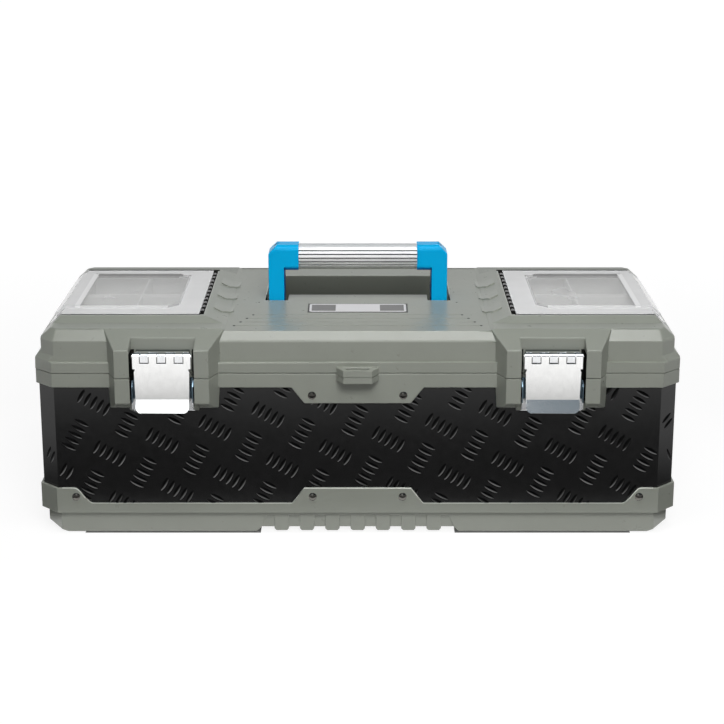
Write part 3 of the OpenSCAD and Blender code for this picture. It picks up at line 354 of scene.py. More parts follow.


# Places of painted shade and painted light: ranges of |x|, y and z, and the colour inside them
HINGE_Y = (-99.4, 99.4)
DECK_Z = (205, 223)
RECESS_Y = (-174.4, -148)
RECESS_Z = (150, 199.6)
# Painted shade for the dark sides of the latch recesses
RECESS_SHADE = (0.02, 0.02, 0.018)
LEG_Y = (-9.6, 20)
PANEL_Z = (222.5, 226)
# Painted highlight: a light line along the lid's edge of each hinge trench
TRENCH_EDGE_HIGHLIGHT = ((158.6, 159.45), HINGE_Y, (221.6, 223)), (0.50, 0.52, 0.47)
# Painted shade: the hinge trench beside each cover is nearly black
HINGE_TRENCH_SHADE = ((159.45, 165.2), HINGE_Y, (214, 223)), (0.012, 0.012, 0.011)
# Painted shadow lines in the gaps behind and in front of each cover
BACK_GAP_SHADOW = ((158, 330), (99.0, 105.4), DECK_Z), (0.03, 0.03, 0.028)
FRONT_GAP_SHADOW = ((163, 330), (-101.6, -99.0), DECK_Z), (0.06, 0.06, 0.056)
# Painted shade on the strip of lid behind each cover
BACK_RIM_SHADE = ((139, 330), (105.4, 150), DECK_Z), (0.27, 0.285, 0.245)
# Painted light: the ledge at the top of the base's front is lightened
BASE_LEDGE_LIGHT = ((0, 305), (-154.9, -151.9), (33.5, 51.3)), (0.74, 0.77, 0.70)
# Painted light: the shaded ends of the handle well are lightened
WELL_END_LIGHT = ((98.4, 101), (14.6, 106), (190, LID_TOP + 0.1)), (0.60, 0.63, 0.55)
# Painted shade on the outer and inner side of each latch recess
OUTER_RECESS_SHADE = ((226.1, 229.8), RECESS_Y, RECESS_Z), RECESS_SHADE
INNER_RECESS_SHADE = ((163.8, 167.5), RECESS_Y, RECESS_Z), RECESS_SHADE
# Painted shade down in the handle well
HANDLE_WELL_SHADE = ((0, 98), (13.3, 105.3), (180, LID_TOP - 0.9)), (0.185, 0.194, 0.168)
# Painted shade in the slots where the handle's legs go down
LEG_SLOT_SHADE = ((76, 101), (-12, 14.6), (180, LID_TOP - 0.2)), (0.03, 0.03, 0.03)
# Painted light: the fine grooves in the lid's top are lightened so they show faint
GROOVE_LIGHT = ((0, 136), (-122, -74), (LID_TOP - 0.8, LID_TOP - 0.1)), (0.46, 0.48, 0.43)
# Painted shade on the undersides of the handle's elbows
ELBOW_UNDERSIDE_SHADE = ((63, 80), LEG_Y, (246, 250.8)), (0.0, 0.22, 0.62)
# Painted shade on the inner faces of the handle's legs
LEG_INSIDE_SHADE = ((78.4, 79.9), LEG_Y, (180, 251)), (0.0, 0.06, 0.24)
# Painted light on the top edges of the bins and their dividers
BIN_RIM_LIGHT = ((160, 310), (-95, 95), (215.6, 220.4)), (1.0, 1.0, 1.0)
# Painted dark reflections at the tops of the latch leaves and brackets
LEAF_TOP_REFLECTION = ((166, 228), (-160, -148), (186, 202)), (0.06, 0.09, 0.10)
BRACKET_TOP_REFLECTION = ((160, 230), (-175, -150), (148, 172)), (0.12, 0.17, 0.21)
PANEL_BOX = ((188.5, 295), (-73.4, 73.4), PANEL_Z)
# Painted light: the panel's outer wall is solid white, a light line
PANEL_OUTER_WALL_LIGHT = ((291.5, 297), (-76, 71), PANEL_Z), (0.96, 0.96, 0.96)
# Painted shade: the panel's back wall is solid and dark
PANEL_BACK_WALL_SHADE = ((188, 300), (71.0, 76.5), (219.5, 224.45)), (0.07, 0.07, 0.068)
# Painted shade: the covers' hinge knuckles are solid and dark
KNUCKLE_SHADE = ((150, 164.4), (-99.5, 99.5), (200, 223)), (0.030, 0.030, 0.029)

# Lay of a metal's lines
EVEN = (1, 1, 1)
UPRIGHT = (1, 1, 0.06)
SIDEWAYS = (0.02, 1, 1)

# Each plastic's two colours, roughness, and grain size and height in millimetres; each metal's
# two colours, roughness and lay
GREY = plastic("grey_moulding", (0.318, 0.334, 0.289), (0.340, 0.357, 0.311), 0.29, 0.55, 0.005,
               [TRENCH_EDGE_HIGHLIGHT, HINGE_TRENCH_SHADE, BACK_GAP_SHADOW, FRONT_GAP_SHADOW, BACK_RIM_SHADE, BASE_LEDGE_LIGHT, WELL_END_LIGHT,
                OUTER_RECESS_SHADE, INNER_RECESS_SHADE, HANDLE_WELL_SHADE, LEG_SLOT_SHADE, GROOVE_LIGHT])
BLUE = plastic("blue_moulding", (0.0, 0.50, 0.97), (0.0, 0.53, 1.0), 0.30, 0.5, 0.006,
               [ELBOW_UNDERSIDE_SHADE, LEG_INSIDE_SHADE], gloss=0.12)
BIN = plastic("bin_moulding", (0.86, 0.865, 0.855), (0.90, 0.905, 0.895), 0.35, 0.6, 0.008,
              [BIN_RIM_LIGHT])
TRAY = plastic("tray_moulding", (0.022, 0.022, 0.022), (0.030, 0.030, 0.030), 0.42, 0.5, 0.015)
PIT = plastic("pit_shadow", (0.030, 0.031, 0.028), (0.036, 0.037, 0.034), 0.5, 0.5, 0.01)
INK_BLACK = plastic("ink_black", (0.010, 0.010, 0.010), (0.014, 0.014, 0.014), 0.35, 1.2, 0.004)
INK_WHITE = plastic("ink_white", (0.80, 0.79, 0.80), (0.86, 0.85, 0.86), 0.35, 1.2, 0.004)
INK_GREY = plastic("ink_grey", (0.205, 0.200, 0.197), (0.225, 0.220, 0.217), 0.4, 1.2, 0.004)
# Painted highlight: whitish lips standing for the bright edges of the clear covers
LIP_HIGHLIGHT = plastic("painted_edge_highlight", (0.86, 0.87, 0.87), (0.92, 0.92, 0.92), 0.25, 2.0, 0.004)
ZINC = brushed_metal("bright_zinc", (0.90, 0.90, 0.89), (0.96, 0.96, 0.95), 0.16, UPRIGHT,
                     spread=0.04)
# A darker copy of the bright zinc: painted shade, with painted dark reflections in its places
SHADED_ZINC = brushed_metal("shaded_zinc", (0.80, 0.81, 0.82), (0.90, 0.91, 0.92), 0.18, UPRIGHT,
                            spread=0.05, places=[LEAF_TOP_REFLECTION, BRACKET_TOP_REFLECTION])
DARK_STEEL = brushed_metal("dark_steel", (0.055, 0.052, 0.047), (0.090, 0.087, 0.080), 0.18, EVEN)
TUBE = fluted_tube()
BLACK = black_sheet("black_coated_sheet")
TREAD = black_sheet("black_tread", pressed=True)
CLEAR = clear_plastic(PANEL_BOX, [PANEL_OUTER_WALL_LIGHT, PANEL_BACK_WALL_SHADE, KNUCKLE_SHADE])

FINISH = {
    "grey_plastic": GREY, "black_sheet": BLACK, "zinc": ZINC, "dark_steel": DARK_STEEL,
    "blue_plastic": BLUE, "tube_aluminium": TUBE, "clear_plastic": CLEAR, "bin_plastic": BIN,
    "tray_plastic": TRAY, "plate_metal": INK_BLACK,
}
for part in frame["record"]["subparts"]:
    mesh = NODES[part["node"]].data
    mesh.materials.clear()
    mesh.materials.append(FINISH[part["material_slot"]])
# Painted shade: the hinge pins are black so that the hinge trench stays dark
NODES["organiser_hinge_pins"].data.materials[0] = BLACK
# The latch leaves and brackets take the darker zinc with its painted shade and dark reflections
for name in ("latch_leaf", "latch_bracket"):
    for side in ("left", "right"):
        NODES[side + "_" + name].data.materials[0] = SHADED_ZINC


# ---------------------------------------------------------------- rounded edges

WELD = 0.002
SHARP = math.radians(26)
SHORTEST = 0.8
LID_ROUND = 1.3
COLLAR_ROUND = 0.8
BASE_ROUND = 0.9
WELL_ROUND = 0.9
LUG_ROUND = 0.7
SEAM_ROUND = 0.7
FOOT_ROUND = 0.6
FINE_ROUND = 0.4
HINGE_STRIP = 16


def bevel_modifier(part, width, segments, harden=True):
    bevel = part.modifiers.new("bevel", "BEVEL")
    bevel.width = width * MM
    bevel.segments = segments
    bevel.harden_normals = harden
    bevel.miter_outer = "MITER_ARC"
    return bevel


def round_by_rule(node, rule, widest, segments=3):
    """Rounds a moulding's outward edges, each by the width that the rule gives for its middle."""
    part = NODES[node]
    mesh = part.data
    welded = bmesh.new()
    welded.from_mesh(mesh)
    bmesh.ops.remove_doubles(welded, verts=welded.verts, dist=WELD * MM)
    welded.verts.index_update()
    tree = KDTree(len(welded.verts))
    for vertex in welded.verts:
        tree.insert(vertex.co, vertex.index)
    tree.balance()
    weights = {}
    for edge in welded.edges:
        if len(edge.link_faces) != 2 or edge.calc_length() < SHORTEST * MM:
            continue
        if edge.calc_face_angle(0) > SHARP and edge.is_convex:
            middle = (edge.verts[0].co + edge.verts[1].co) / 2 / MM
            weights[frozenset(v.index for v in edge.verts)] = rule(middle) / widest
    welded.free()
    nearest = [tree.find(vertex.co)[1] for vertex in mesh.vertices]
    layer = mesh.attributes.new("bevel_weight_edge", "FLOAT", "EDGE")
    for edge in mesh.edges:
        ends = frozenset(nearest[i] for i in edge.vertices)
        layer.data[edge.index].value = weights.get(ends, 0.0)
    for attribute in [a for a in mesh.attributes if a.name == "custom_normal"]:
        mesh.attributes.remove(attribute)
    mesh.shade_flat()
    part.modifiers.new("weld", "WELD").merge_threshold = WELD * MM
    bevel = bevel_modifier(part, widest, segments, harden=False)
    bevel.limit_method = "WEIGHT"
    bevel.use_clamp_overlap = False


def round_evenly(node, width):
    """Rounds all of a small piece's outward edges by one width."""
    round_by_rule(node, lambda p: width, width, segments=2)


def lid_rule(p):
    """Widths for the lid: none in the hinge trenches and the grooves, broad on the rim and the
    long slopes."""
    x, y = abs(p.x), abs(p.y)
    in_trench = x > 158 and y < 101 and p.z > SEAM_Z + 8
    in_grooves = x < 150 and -124 < p.y < -28 and LID_TOP - 1.2 < p.z < LID_TOP + 0.5
    in_well = x < 120 and -14 < p.y < 110
    on_lug = x < 24 and p.y < -156
    at_seam = p.z < SEAM_Z + 1
    if in_trench or in_grooves:
        return 0.0
    if p.y > lid_high.y - HINGE_STRIP:
        return FINE_ROUND
    if in_well:
        return WELL_ROUND
    if on_lug:
        return LUG_ROUND
    return SEAM_ROUND if at_seam else LID_ROUND


def collar_rule(p):
    """Widths for the collar: fine on its inside and at the hinge."""
    inside = abs(p.x) < collar_high.x - 2.5 and abs(p.y) < 152.5
    if inside or p.y > collar_high.y - HINGE_STRIP:
        return FINE_ROUND
    return COLLAR_ROUND


def base_rule(p):
    """Widths for the base: fine inside, none at the step between its bands, narrow on the feet."""
    inside = abs(p.x) < base_high.x - 9 and abs(p.y) < base_high.y - 9
    at_step = 22 < p.z < 40
    on_feet = p.z < 2
    if inside:
        return FINE_ROUND
    if at_step:
        return 0.0
    return FOOT_ROUND if on_feet else BASE_ROUND


round_by_rule("lid_shell", lid_rule, LID_ROUND)
round_by_rule("top_collar", collar_rule, COLLAR_ROUND)
round_by_rule("base_pan", base_rule, BASE_ROUND)
for name, width in {
    "handle_end": 1.1, "organiser_cover": 0.5, "latch_lever": 0.35, "latch_leaf": 0.25,
    "latch_bracket": 0.3, "organiser_bin": 0.4, "bin_divider": 0.3,
}.items():
    round_evenly("left_" + name, width)
    round_evenly("right_" + name, width)
round_evenly("tote_tray", 0.5)
round_evenly("label_plate", 0.15)


# ---------------------------------------------------------------- pieces added to the frame

def piece(name, verts, faces, material, body, smooth=True):
    """A mesh piece from points in millimetres, riding on a body."""
    mesh = bpy.data.meshes.new(name)
    mesh.from_pydata([Vector(v) * MM for v in verts], [], faces)
    mesh.update()
    made = bpy.data.objects.new(name, mesh)
    bpy.context.scene.collection.objects.link(made)
    mesh.materials.append(material)
    outward = bmesh.new()
    outward.from_mesh(mesh)
    bmesh.ops.recalc_face_normals(outward, faces=outward.faces)
    outward.to_mesh(mesh)
    outward.free()
    for face in mesh.polygons:
        face.use_smooth = smooth
    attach(made, body)
    return made


def bands(start, rings, around):
    """Faces between rings of points, each ring closed on itself."""
    faces = []
    for i in range(rings - 1):
        for j in range(around):
            a = start + i * around + j
            b = start + i * around + (j + 1) % around
            faces.append((a, b, b + around, a + around))
    return faces


def cap(start, around):
    """One face over a whole ring of points."""
    return tuple(start + j for j in range(around))


# Tread bars pressed out of the sheet, in clusters on a square lattice turned a little
TREAD_PITCH = 56.3
TREAD_TURN = math.radians(14.4)
TREAD_START = (-57.4, 109.5)
TREAD_COLUMNS = 16
TREAD_ROWS = 8
TREAD_LOW = 24.0
TREAD_HIGH = 166.0
BARS = 5
BAR_PITCH = 7.3
BAR_LENGTH = 16.2
BAR_WIDTH = 4.4
BAR_HEIGHT = 1.25
BAR_FOOT = 0.03
BAR_TAPER = 0.62
BAR_MARGIN = 1
BAR_TURN = math.radians(-29)
BAR_STEPS = 8
BAR_SIDES = 6
SHEET_EDGE = 27.4


def bar_grid(cx, cy, turn):
    """Points of one lens-shaped bar as (along the sheet, up the sheet, out of the sheet). None
    goes below the sheet's edge."""
    points = []
    for i in range(BAR_STEPS + 1):
        u = -math.cos(math.pi * i / BAR_STEPS)
        swell = max(0.0, 1 - u * u) ** BAR_TAPER
        for j in range(BAR_SIDES + 1):
            a = math.pi * j / BAR_SIDES
            x = u * BAR_LENGTH / 2
            y = -math.cos(a) * BAR_WIDTH / 2 * swell
            points.append((cx + x * math.cos(turn) - y * math.sin(turn),
                           max(SHEET_EDGE, cy + x * math.sin(turn) + y * math.cos(turn)),
                           math.sin(a) ** 2 * BAR_HEIGHT * swell - BAR_FOOT))
    return points


def tread_bars(width, shift):
    """Centres and turns of the bars that fall on a face this wide."""
    ax = TREAD_PITCH * math.cos(TREAD_TURN)
    ay = TREAD_PITCH * math.sin(TREAD_TURN)
    for i in range(-TREAD_COLUMNS, TREAD_COLUMNS + 1):
        for j in range(-TREAD_ROWS, TREAD_ROWS + 1):
            for half, turn in ((0.0, BAR_TURN), (0.5, BAR_TURN + math.pi / 2)):
                u, v = i + half, j + half
                x = TREAD_START[0] + shift + u * ax + v * ay
                z = TREAD_START[1] + u * ay - v * ax
                for k in range(BARS):
                    step = (k - (BARS - 1) / 2) * BAR_PITCH
                    bx = x - step * math.sin(turn)
                    bz = z + step * math.cos(turn)
                    reach = BAR_LENGTH / 2 * abs(math.cos(turn)) + BAR_MARGIN
                    if abs(bx) + reach < width / 2 and TREAD_LOW < bz < TREAD_HIGH:
                        yield bx, bz, turn


def tread_face(name, width, shift, place):
    """All the bars on one face; place turns (along, up, out) into a point of the case."""
    verts, faces = [], []
    row = BAR_SIDES + 1
    for bx, bz, turn in tread_bars(width, shift):
        start = len(verts)
        verts += [place(*p) for p in bar_grid(bx, bz, turn)]
        for i in range(BAR_STEPS):
            for j in range(BAR_SIDES):
                a = start + i * row + j
                faces.append((a, a + 1, a + 1 + row, a + row))
    piece(name, verts, faces, TREAD, "case")


SHEET_X = sheet_high.x
SHEET_Y = sheet_high.y
CORNER = 17.54
FACE_X = 2 * (SHEET_X - CORNER)
FACE_Y = 2 * (SHEET_Y - CORNER)
CORNER_FACE = CORNER * math.sqrt(2)
tread_face("front_tread", FACE_X, 0, lambda a, u, o: (a, -SHEET_Y - o, u))
tread_face("back_tread", FACE_X, 13, lambda a, u, o: (-a, SHEET_Y + o, u))
tread_face("left_tread", FACE_Y, 7, lambda a, u, o: (-SHEET_X - o, -a, u))
tread_face("right_tread", FACE_Y, 21, lambda a, u, o: (SHEET_X + o, a, u))


def corner_tread(name, side_x, side_y, shift):
    """Bars on one of the four corner faces of the sheet."""
    cx = SHEET_X - CORNER / 2
    cy = SHEET_Y - CORNER / 2
    half = math.sqrt(0.5)
    tread_face(name, CORNER_FACE, shift, lambda a, u, o: (
        side_x * (cx + (o - a) * half), side_y * (cy + (o + a) * half), u))


corner_tread("front_left_tread", -1, -1, 15)
corner_tread("front_right_tread", 1, -1, 4)
corner_tread("back_left_tread", -1, 1, 4)
corner_tread("back_right_tread", 1, 1, 15)

# Chevron pads that stand a little out of the ramp beside each organiser and fade to the back
PAD_FRONTS = (47.5, -7.6, -64.2)
PAD_NEAR_X = 131.3
PAD_BEND_X = 142.3
PAD_FAR_X = 151.8
PAD_DIP = 12.5
PAD_RISE = 8.0
PAD_DEPTH = 30.0
PAD_HEIGHT = 1.2
PAD_SINK = 0.4
PAD_SLOPE = 0.5
PAD_FADE = 1.3
PAD_BEVEL = 0.25
PAD_STEPS = 4
PAD_COLUMNS = 12
RAMP_FOOT = 4


def ramp_z(x):
    """Height of the lid's top where it climbs to the organiser deck."""
    if x < DECK_BREAK_X - RAMP_FOOT:
        return LID_TOP
    if x < DECK_BREAK_X:
        return LID_TOP + (x - DECK_BREAK_X + RAMP_FOOT) / RAMP_FOOT * (ZONE_TOP - LID_TOP)
    return ZONE_TOP + (x - DECK_BREAK_X) / (DECK_INNER_X - DECK_BREAK_X) * (DECK_TOP - ZONE_TOP)


def deck_pads(name, side):
    """The pads of one ramp, each of rings of points that run front to back and under it."""
    verts, faces = [], []
    around = PAD_STEPS + 3
    for near_front in PAD_FRONTS:
        start = len(verts)
        for i in range(PAD_COLUMNS + 1):
            x = PAD_NEAR_X + (PAD_FAR_X - PAD_NEAR_X) * i / PAD_COLUMNS
            dip = min(1.0, (x - PAD_NEAR_X) / (PAD_BEND_X - PAD_NEAR_X)) * PAD_DIP
            rise = max(0.0, x - PAD_BEND_X) / (PAD_FAR_X - PAD_BEND_X) * PAD_RISE
            front = near_front - dip + rise
            ground = ramp_z(x)
            verts.append((side * x, front, ground - PAD_SINK))
            for j in range(PAD_STEPS + 1):
                t = j / PAD_STEPS
                verts.append((side * x, front + PAD_SLOPE + t * PAD_DEPTH,
                              ground + PAD_HEIGHT * (1 - t) ** PAD_FADE))
            verts.append((side * x, front + PAD_SLOPE + PAD_DEPTH, ground - PAD_SINK))
        faces += bands(start, PAD_COLUMNS + 1, around)
        faces += [cap(start, around), cap(start + PAD_COLUMNS * around, around)]
    pads = piece(name, verts, faces, GREY, "lid", smooth=False)
    bevel_modifier(pads, PAD_BEVEL, 2).limit_method = "ANGLE"


deck_pads("left_deck_pads", -1)
deck_pads("right_deck_pads", 1)


def rounded_outline(x0, y0, x1, y1, radius, steps=6):
    """Points round a rectangle with rounded corners."""
    points = []
    for cx, cy, start in ((x1 - radius, y1 - radius, 0), (x0 + radius, y1 - radius, 90),
                          (x0 + radius, y0 + radius, 180), (x1 - radius, y0 + radius, 270)):
        for i in range(steps + 1):
            a = math.radians(start + 90 * i / steps)
            points.append((cx + radius * math.cos(a), cy + radius * math.sin(a)))
    return points


# The plate on the lid: black outline, white border and two grey fields; the middle is bare
PLATE_X = plate_high.x
PRINT_T = 0.03
WHITE_INSET_X = 1.6
WHITE_INSET_Y = 1.3
WHITE_RADIUS = 3.2
FIELD_INSET_X = 4.0
FIELD_INSET_Y = 5.2
FIELD_INNER_X = 23.5
FIELD_RADIUS = 0.8


def plate_print(name, x0, x1, inset, radius, layer, material):
    """A thin rounded rectangle of ink on the plate, in its first or second layer."""
    outline = rounded_outline(x0, plate_low.y + inset, x1, plate_high.y - inset, radius)
    z0 = plate_high.z + (layer - 1) * PRINT_T
    z1 = plate_high.z + layer * PRINT_T
    n = len(outline)
    verts = [(x, y, z0) for x, y in outline] + [(x, y, z1) for x, y in outline]
    faces = [cap(0, n), cap(n, n)] + bands(0, 2, n)
    piece(name, verts, faces, material, "lid", smooth=False)


plate_print("plate_white", WHITE_INSET_X - PLATE_X, PLATE_X - WHITE_INSET_X, WHITE_INSET_Y,
            WHITE_RADIUS, 1, INK_WHITE)
plate_print("plate_left_field", FIELD_INSET_X - PLATE_X, -FIELD_INNER_X, FIELD_INSET_Y,
            FIELD_RADIUS, 2, INK_GREY)
plate_print("plate_right_field", FIELD_INNER_X, PLATE_X - FIELD_INSET_X, FIELD_INSET_Y,
            FIELD_RADIUS, 2, INK_GREY)

# Small domes in painted shade that stand for pits, at the outer ends of the lid's fine grooves
# and beside the handle's legs
PIT_STEPS = 12
PIT_RINGS = ((1.0, 0.0), (0.75, 0.1), (0.4, 0.16))
PIT_SINK = 0.02
GROOVE_Y = (-76.05, -90.85, -105.65, -120.45)
GROOVE_X = (109.6, 115.4, 121.1, 126.9)
GROOVE_PIT = (1.5, 2.4)
HANDLE_PIT_X = 106.5
HANDLE_PIT_Y = -22.0
HANDLE_PIT = (1.2, 1.6)


def pits(name, places, half_x, half_y):
    """Low dark domes on the lid's top, each an ellipse in plan."""
    verts, faces = [], []
    for x, y in places:
        start = len(verts)
        for ring, lift in PIT_RINGS:
            for i in range(PIT_STEPS):
                a = 2 * math.pi * i / PIT_STEPS
                verts.append((x + half_x * ring * math.cos(a), y + half_y * ring * math.sin(a),
                              LID_TOP + lift - PIT_SINK))
        faces += bands(start, len(PIT_RINGS), PIT_STEPS)
        faces.append(cap(start + (len(PIT_RINGS) - 1) * PIT_STEPS, PIT_STEPS))
    piece(name, verts, faces, PIT, "lid")


pits("groove_pits", [(side * x, y) for side in (-1, 1) for x, y in zip(GROOVE_X, GROOVE_Y)],
     *GROOVE_PIT)
pits("handle_pits", [(side * HANDLE_PIT_X, HANDLE_PIT_Y) for side in (-1, 1)], *HANDLE_PIT)

# Whitish lips along the clear covers' edges, a painted highlight for the light the edges catch.
# The path of a lip goes up the flap and over the top, and leans outward by these parts of the
# lift.
LIP_WIDTH = 1.5
LIP_HEIGHT = 0.35
LIP_SINK = -0.3
LIP_BEVEL = 0.2
LIP_SECTION = ((0, LIP_SINK), (0, LIP_HEIGHT), (LIP_WIDTH, LIP_HEIGHT), (LIP_WIDTH, LIP_SINK))
LIP_TOP = cover_high.z - COVER_PANEL_RISE
LIP_PATH = ((cover_high.x, cover_low.z), (COVER_OUTER_X, LIP_TOP), (COVER_INNER_X, LIP_TOP))
LIP_LEAN = ((0.72, 0.69), (0.41, 1.0), (0.0, 1.0))


def cover_lip(name, side, body):
    """A lip along both ends of a cover, flap and top, and along its hinge side."""
    verts, faces = [], []
    around = len(LIP_SECTION)
    for y_side in (-1, 1):
        start = len(verts)
        for (x, z), (out, up) in zip(LIP_PATH, LIP_LEAN):
            for inset, lift in LIP_SECTION:
                verts.append((side * (x + out * lift), y_side * (COVER_HALF - inset),
                              z + up * lift))
        faces += bands(start, len(LIP_PATH), around)
        faces += [cap(start, around), cap(start + (len(LIP_PATH) - 1) * around, around)]
    start = len(verts)
    for y in (-COVER_HALF + LIP_WIDTH, COVER_HALF - LIP_WIDTH):
        for inset, lift in LIP_SECTION:
            verts.append((side * (COVER_INNER_X + inset), y, LIP_TOP + lift))
    faces += bands(start, 2, around)
    faces += [cap(start, around), cap(start + around, around)]
    lip = piece(name, verts, faces, LIP_HIGHLIGHT, body, smooth=False)
    bevel_modifier(lip, LIP_BEVEL, 2).limit_method = "ANGLE"


cover_lip("left_cover_lip", -1, "left_cover")
cover_lip("right_cover_lip", 1, "right_cover")


# ---------------------------------------------------------------- stage, light and camera

# The world: the fill by |x| of its direction, and the room and horizon that gloss sees
WHITE = (1, 1, 1)
FILL_COLOUR = (0.97, 0.98, 1.0)
FILL_BY_SIDE = (0.3, 0.9, 0.20, 0.02)
ROOM_COLOUR = (0.58, 0.81, 1.0)
ROOM_LEVEL = 0.165
HORIZON_LEVEL = 0.78
HORIZON_BY_HEIGHT = (0.20, 0.50, 1, 0)

# The floor: each glow is two distances from the case and the levels at them. Sideways the near
# glow is squeezed, and the contact shadow is painted: a dark strip under the case that the camera
# sees.
NEAR_GLOW = (0.03, 0.095, 2.4, 0.02)
NEAR_SQUEEZE = (3, 1, 1)
FAR_GLOW = (0.33, 0.70, 0.02, 1.12)
SIDE_GLOW = (0.08, 0.36, 0.0, 0.60)
CAMERA_GLOW = (0.2, 1.4, 0.86, 1.0)
CAMERA_MATT = 0.22
CONTACT_SHADOW_X = (101, 284)
CONTACT_SHADOW_Y = 150.4
CONTACT_SHADOW_LEVEL = 0.04
FLOOR_ALBEDO = 0.45
FLOOR_HALF = 20000


def area_light(name, size, power, place, aim, mirrored=True, lights=True, spread=180):
    """A softbox aimed at a point. One that isn't mirrored doesn't show in glossy surfaces, and one
    that doesn't light shows only there."""
    data = bpy.data.lights.new(name, "AREA")
    data.shape = "RECTANGLE"
    data.size, data.size_y = size
    data.energy = power
    data.spread = math.radians(spread)
    lamp = bpy.data.objects.new(name, data)
    lamp.visible_glossy = mirrored
    lamp.visible_diffuse = lights
    bpy.context.scene.collection.objects.link(lamp)
    lamp.location = place
    lamp.rotation_euler = (Vector(aim) - Vector(place)).to_track_quat("-Z", "Y").to_euler()


def glowing(tree, kind, strength, colour=WHITE):
    """A Background or Emission shader; its strength is a number or a socket."""
    node = tree.nodes.new(kind)
    node.inputs["Color"].default_value = (*colour, 1)
    if isinstance(strength, float):
        node.inputs["Strength"].default_value = strength
    else:
        tree.links.new(strength, node.inputs["Strength"])
    return node.outputs[0]


def mix_shaders(tree, factor, low, high):
    node = tree.nodes.new("ShaderNodeMixShader")
    tree.links.new(factor, node.inputs["Fac"])
    tree.links.new(low, node.inputs[1])
    tree.links.new(high, node.inputs[2])
    return node.outputs[0]


def by_ray(tree, matt, gloss, camera):
    """One shader for light that falls on matt surfaces, one for gloss and one for the camera."""
    path = tree.nodes.new("ShaderNodeLightPath")
    shiny = math_node(tree, "MAXIMUM", path.outputs["Is Glossy Ray"],
                      path.outputs["Is Transmission Ray"])
    seen = mix_shaders(tree, shiny, matt, gloss)
    return mix_shaders(tree, path.outputs["Is Camera Ray"], seen, camera)


def make_world():
    """White to the camera. Gloss sees white near the horizon and a dim, cool room above it."""
    world = bpy.data.worlds.new("studio")
    bpy.context.scene.world = world
    world.use_nodes = True
    tree = world.node_tree
    tree.nodes.clear()
    kind = "ShaderNodeBackground"
    axes = separated(tree, tree.nodes.new("ShaderNodeTexCoord").outputs["Generated"])
    aside = math_node(tree, "ABSOLUTE", axes["X"])
    fill = glowing(tree, kind, remap(tree, aside, *FILL_BY_SIDE), FILL_COLOUR)
    dim = glowing(tree, kind, ROOM_LEVEL, ROOM_COLOUR)
    horizon = glowing(tree, kind, HORIZON_LEVEL)
    height = remap(tree, axes["Z"], *HORIZON_BY_HEIGHT, smooth=True)
    room = mix_shaders(tree, height, dim, horizon)
    output = tree.nodes.new("ShaderNodeOutputWorld")
    tree.links.new(by_ray(tree, fill, room, glowing(tree, kind, 1.0)), output.inputs["Surface"])


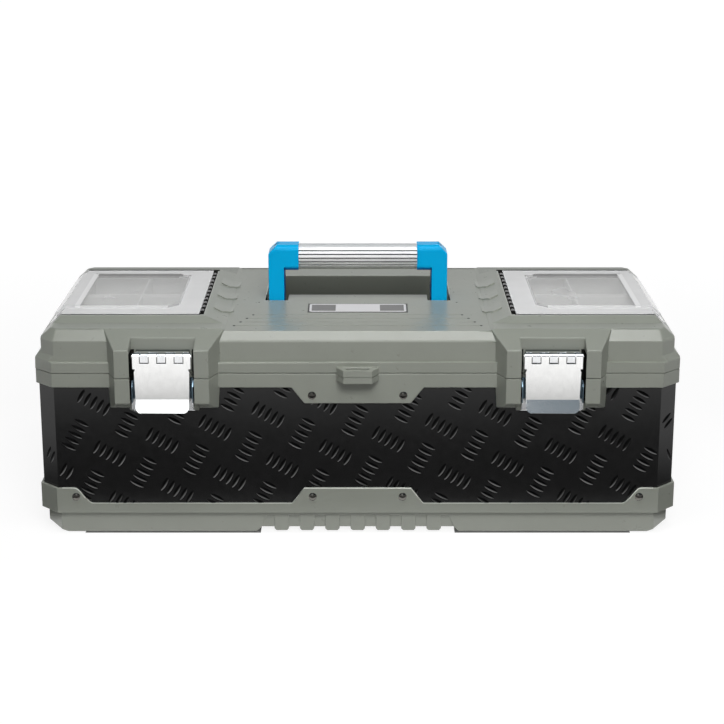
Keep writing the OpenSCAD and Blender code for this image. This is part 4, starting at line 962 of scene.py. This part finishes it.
def make_floor():
    """Pale floor: near white to the camera, with the case's shadow and a painted contact shadow
    under it. Gloss sees it bright close to the case, dark beyond that and bright again farther
    out."""
    material = bpy.data.materials.new("studio_floor")
    material.use_nodes = True
    tree = material.node_tree
    tree.nodes.clear()
    kind = "ShaderNodeEmission"

    def matt(level):
        node = tree.nodes.new("ShaderNodeBsdfDiffuse")
        node.inputs["Color"].default_value = (level, level, level, 1)
        return node.outputs[0]

    def vector_math(operation, a, b=None):
        node = tree.nodes.new("ShaderNodeVectorMath")
        node.operation = operation
        tree.links.new(a, node.inputs[0])
        if b is not None:
            node.inputs[1].default_value = b
        return node.outputs["Value" if operation == "LENGTH" else "Vector"]

    def length_beyond(vector):
        return vector_math("LENGTH", vector_math("MAXIMUM", vector, (0, 0, 0)))

    around = vector_math("ABSOLUTE", object_coordinates(tree))
    beyond = vector_math("SUBTRACT", around, (base_high.x * MM, base_high.y * MM, 0))
    distance = length_beyond(beyond)
    squeezed = length_beyond(scaled(tree, beyond, NEAR_SQUEEZE))
    near = remap(tree, squeezed, *NEAR_GLOW, smooth=True)
    far = remap(tree, distance, *FAR_GLOW, smooth=True)
    beside = remap(tree, separated(tree, beyond)["X"], *SIDE_GLOW, smooth=True)
    falloff = math_node(tree, "ADD", near, math_node(tree, "MAXIMUM", far, beside))
    under = separated(tree, around)
    # Painted contact shadow: the camera sees the floor dark under the case's bottom edge
    contact_shadow = math_node(tree, "MULTIPLY", between(tree, under["X"], *CONTACT_SHADOW_X),
                        math_node(tree, "LESS_THAN", under["Y"], CONTACT_SHADOW_Y * MM))
    lit = math_node(tree, "MULTIPLY", remap(tree, distance, *CAMERA_GLOW),
                    remap(tree, contact_shadow, 0, 1, 1, CONTACT_SHADOW_LEVEL))
    both = tree.nodes.new("ShaderNodeAddShader")
    tree.links.new(matt(CAMERA_MATT), both.inputs[0])
    tree.links.new(glowing(tree, kind, lit), both.inputs[1])
    output = tree.nodes.new("ShaderNodeOutputMaterial")
    tree.links.new(by_ray(tree, matt(FLOOR_ALBEDO), glowing(tree, kind, falloff), both.outputs[0]),
                   output.inputs["Surface"])
    half = FLOOR_HALF
    mesh = bpy.data.meshes.new("floor")
    mesh.from_pydata([Vector(v) * MM for v in
                      [(-half, -half, 0), (half, -half, 0), (half, half, 0), (-half, half, 0)]],
                     [], [(0, 1, 2, 3)])
    floor = bpy.data.objects.new("floor", mesh)
    bpy.context.scene.collection.objects.link(floor)
    mesh.materials.append(material)


make_world()
make_floor()
area_light("overhead_strip", size=(1.2, 0.45), power=2.6, place=(0.10, -0.50, 1.85),
           aim=(0.05, -0.15, 0.2), spread=80)
area_light("front_softbox", size=(0.9, 0.7), power=5.25, place=(0.22, -1.80, 1.55),
           aim=(0.03, -0.1, 0.15), mirrored=False, spread=90)
area_light("left_card", size=(1.1, 0.9), power=5, place=(-0.60, -1.90, 1.45),
           aim=(0, -0.1, 0.2), lights=False)
area_light("tube_card", size=(0.3, 1.4), power=3.4, place=(0.0, -1.75, 1.20),
           aim=(0, 0, 0.26), lights=False)

# The camera was fitted to the photograph's straight edges
SENSOR = 36.0
LENS = 90.02
CAMERA_PLACE = (0.00447, -1.91705, 0.68865)
CAMERA_PITCH = 15.91
camera_data = bpy.data.cameras.new("camera")
camera_data.sensor_width = SENSOR
camera_data.lens = LENS
camera = bpy.data.objects.new("camera", camera_data)
bpy.context.scene.collection.objects.link(camera)
camera.location = CAMERA_PLACE
camera.rotation_euler = (math.radians(90 - CAMERA_PITCH), 0, 0)
bpy.context.scene.camera = camera
bpy.context.scene.view_settings.view_transform = "Standard"
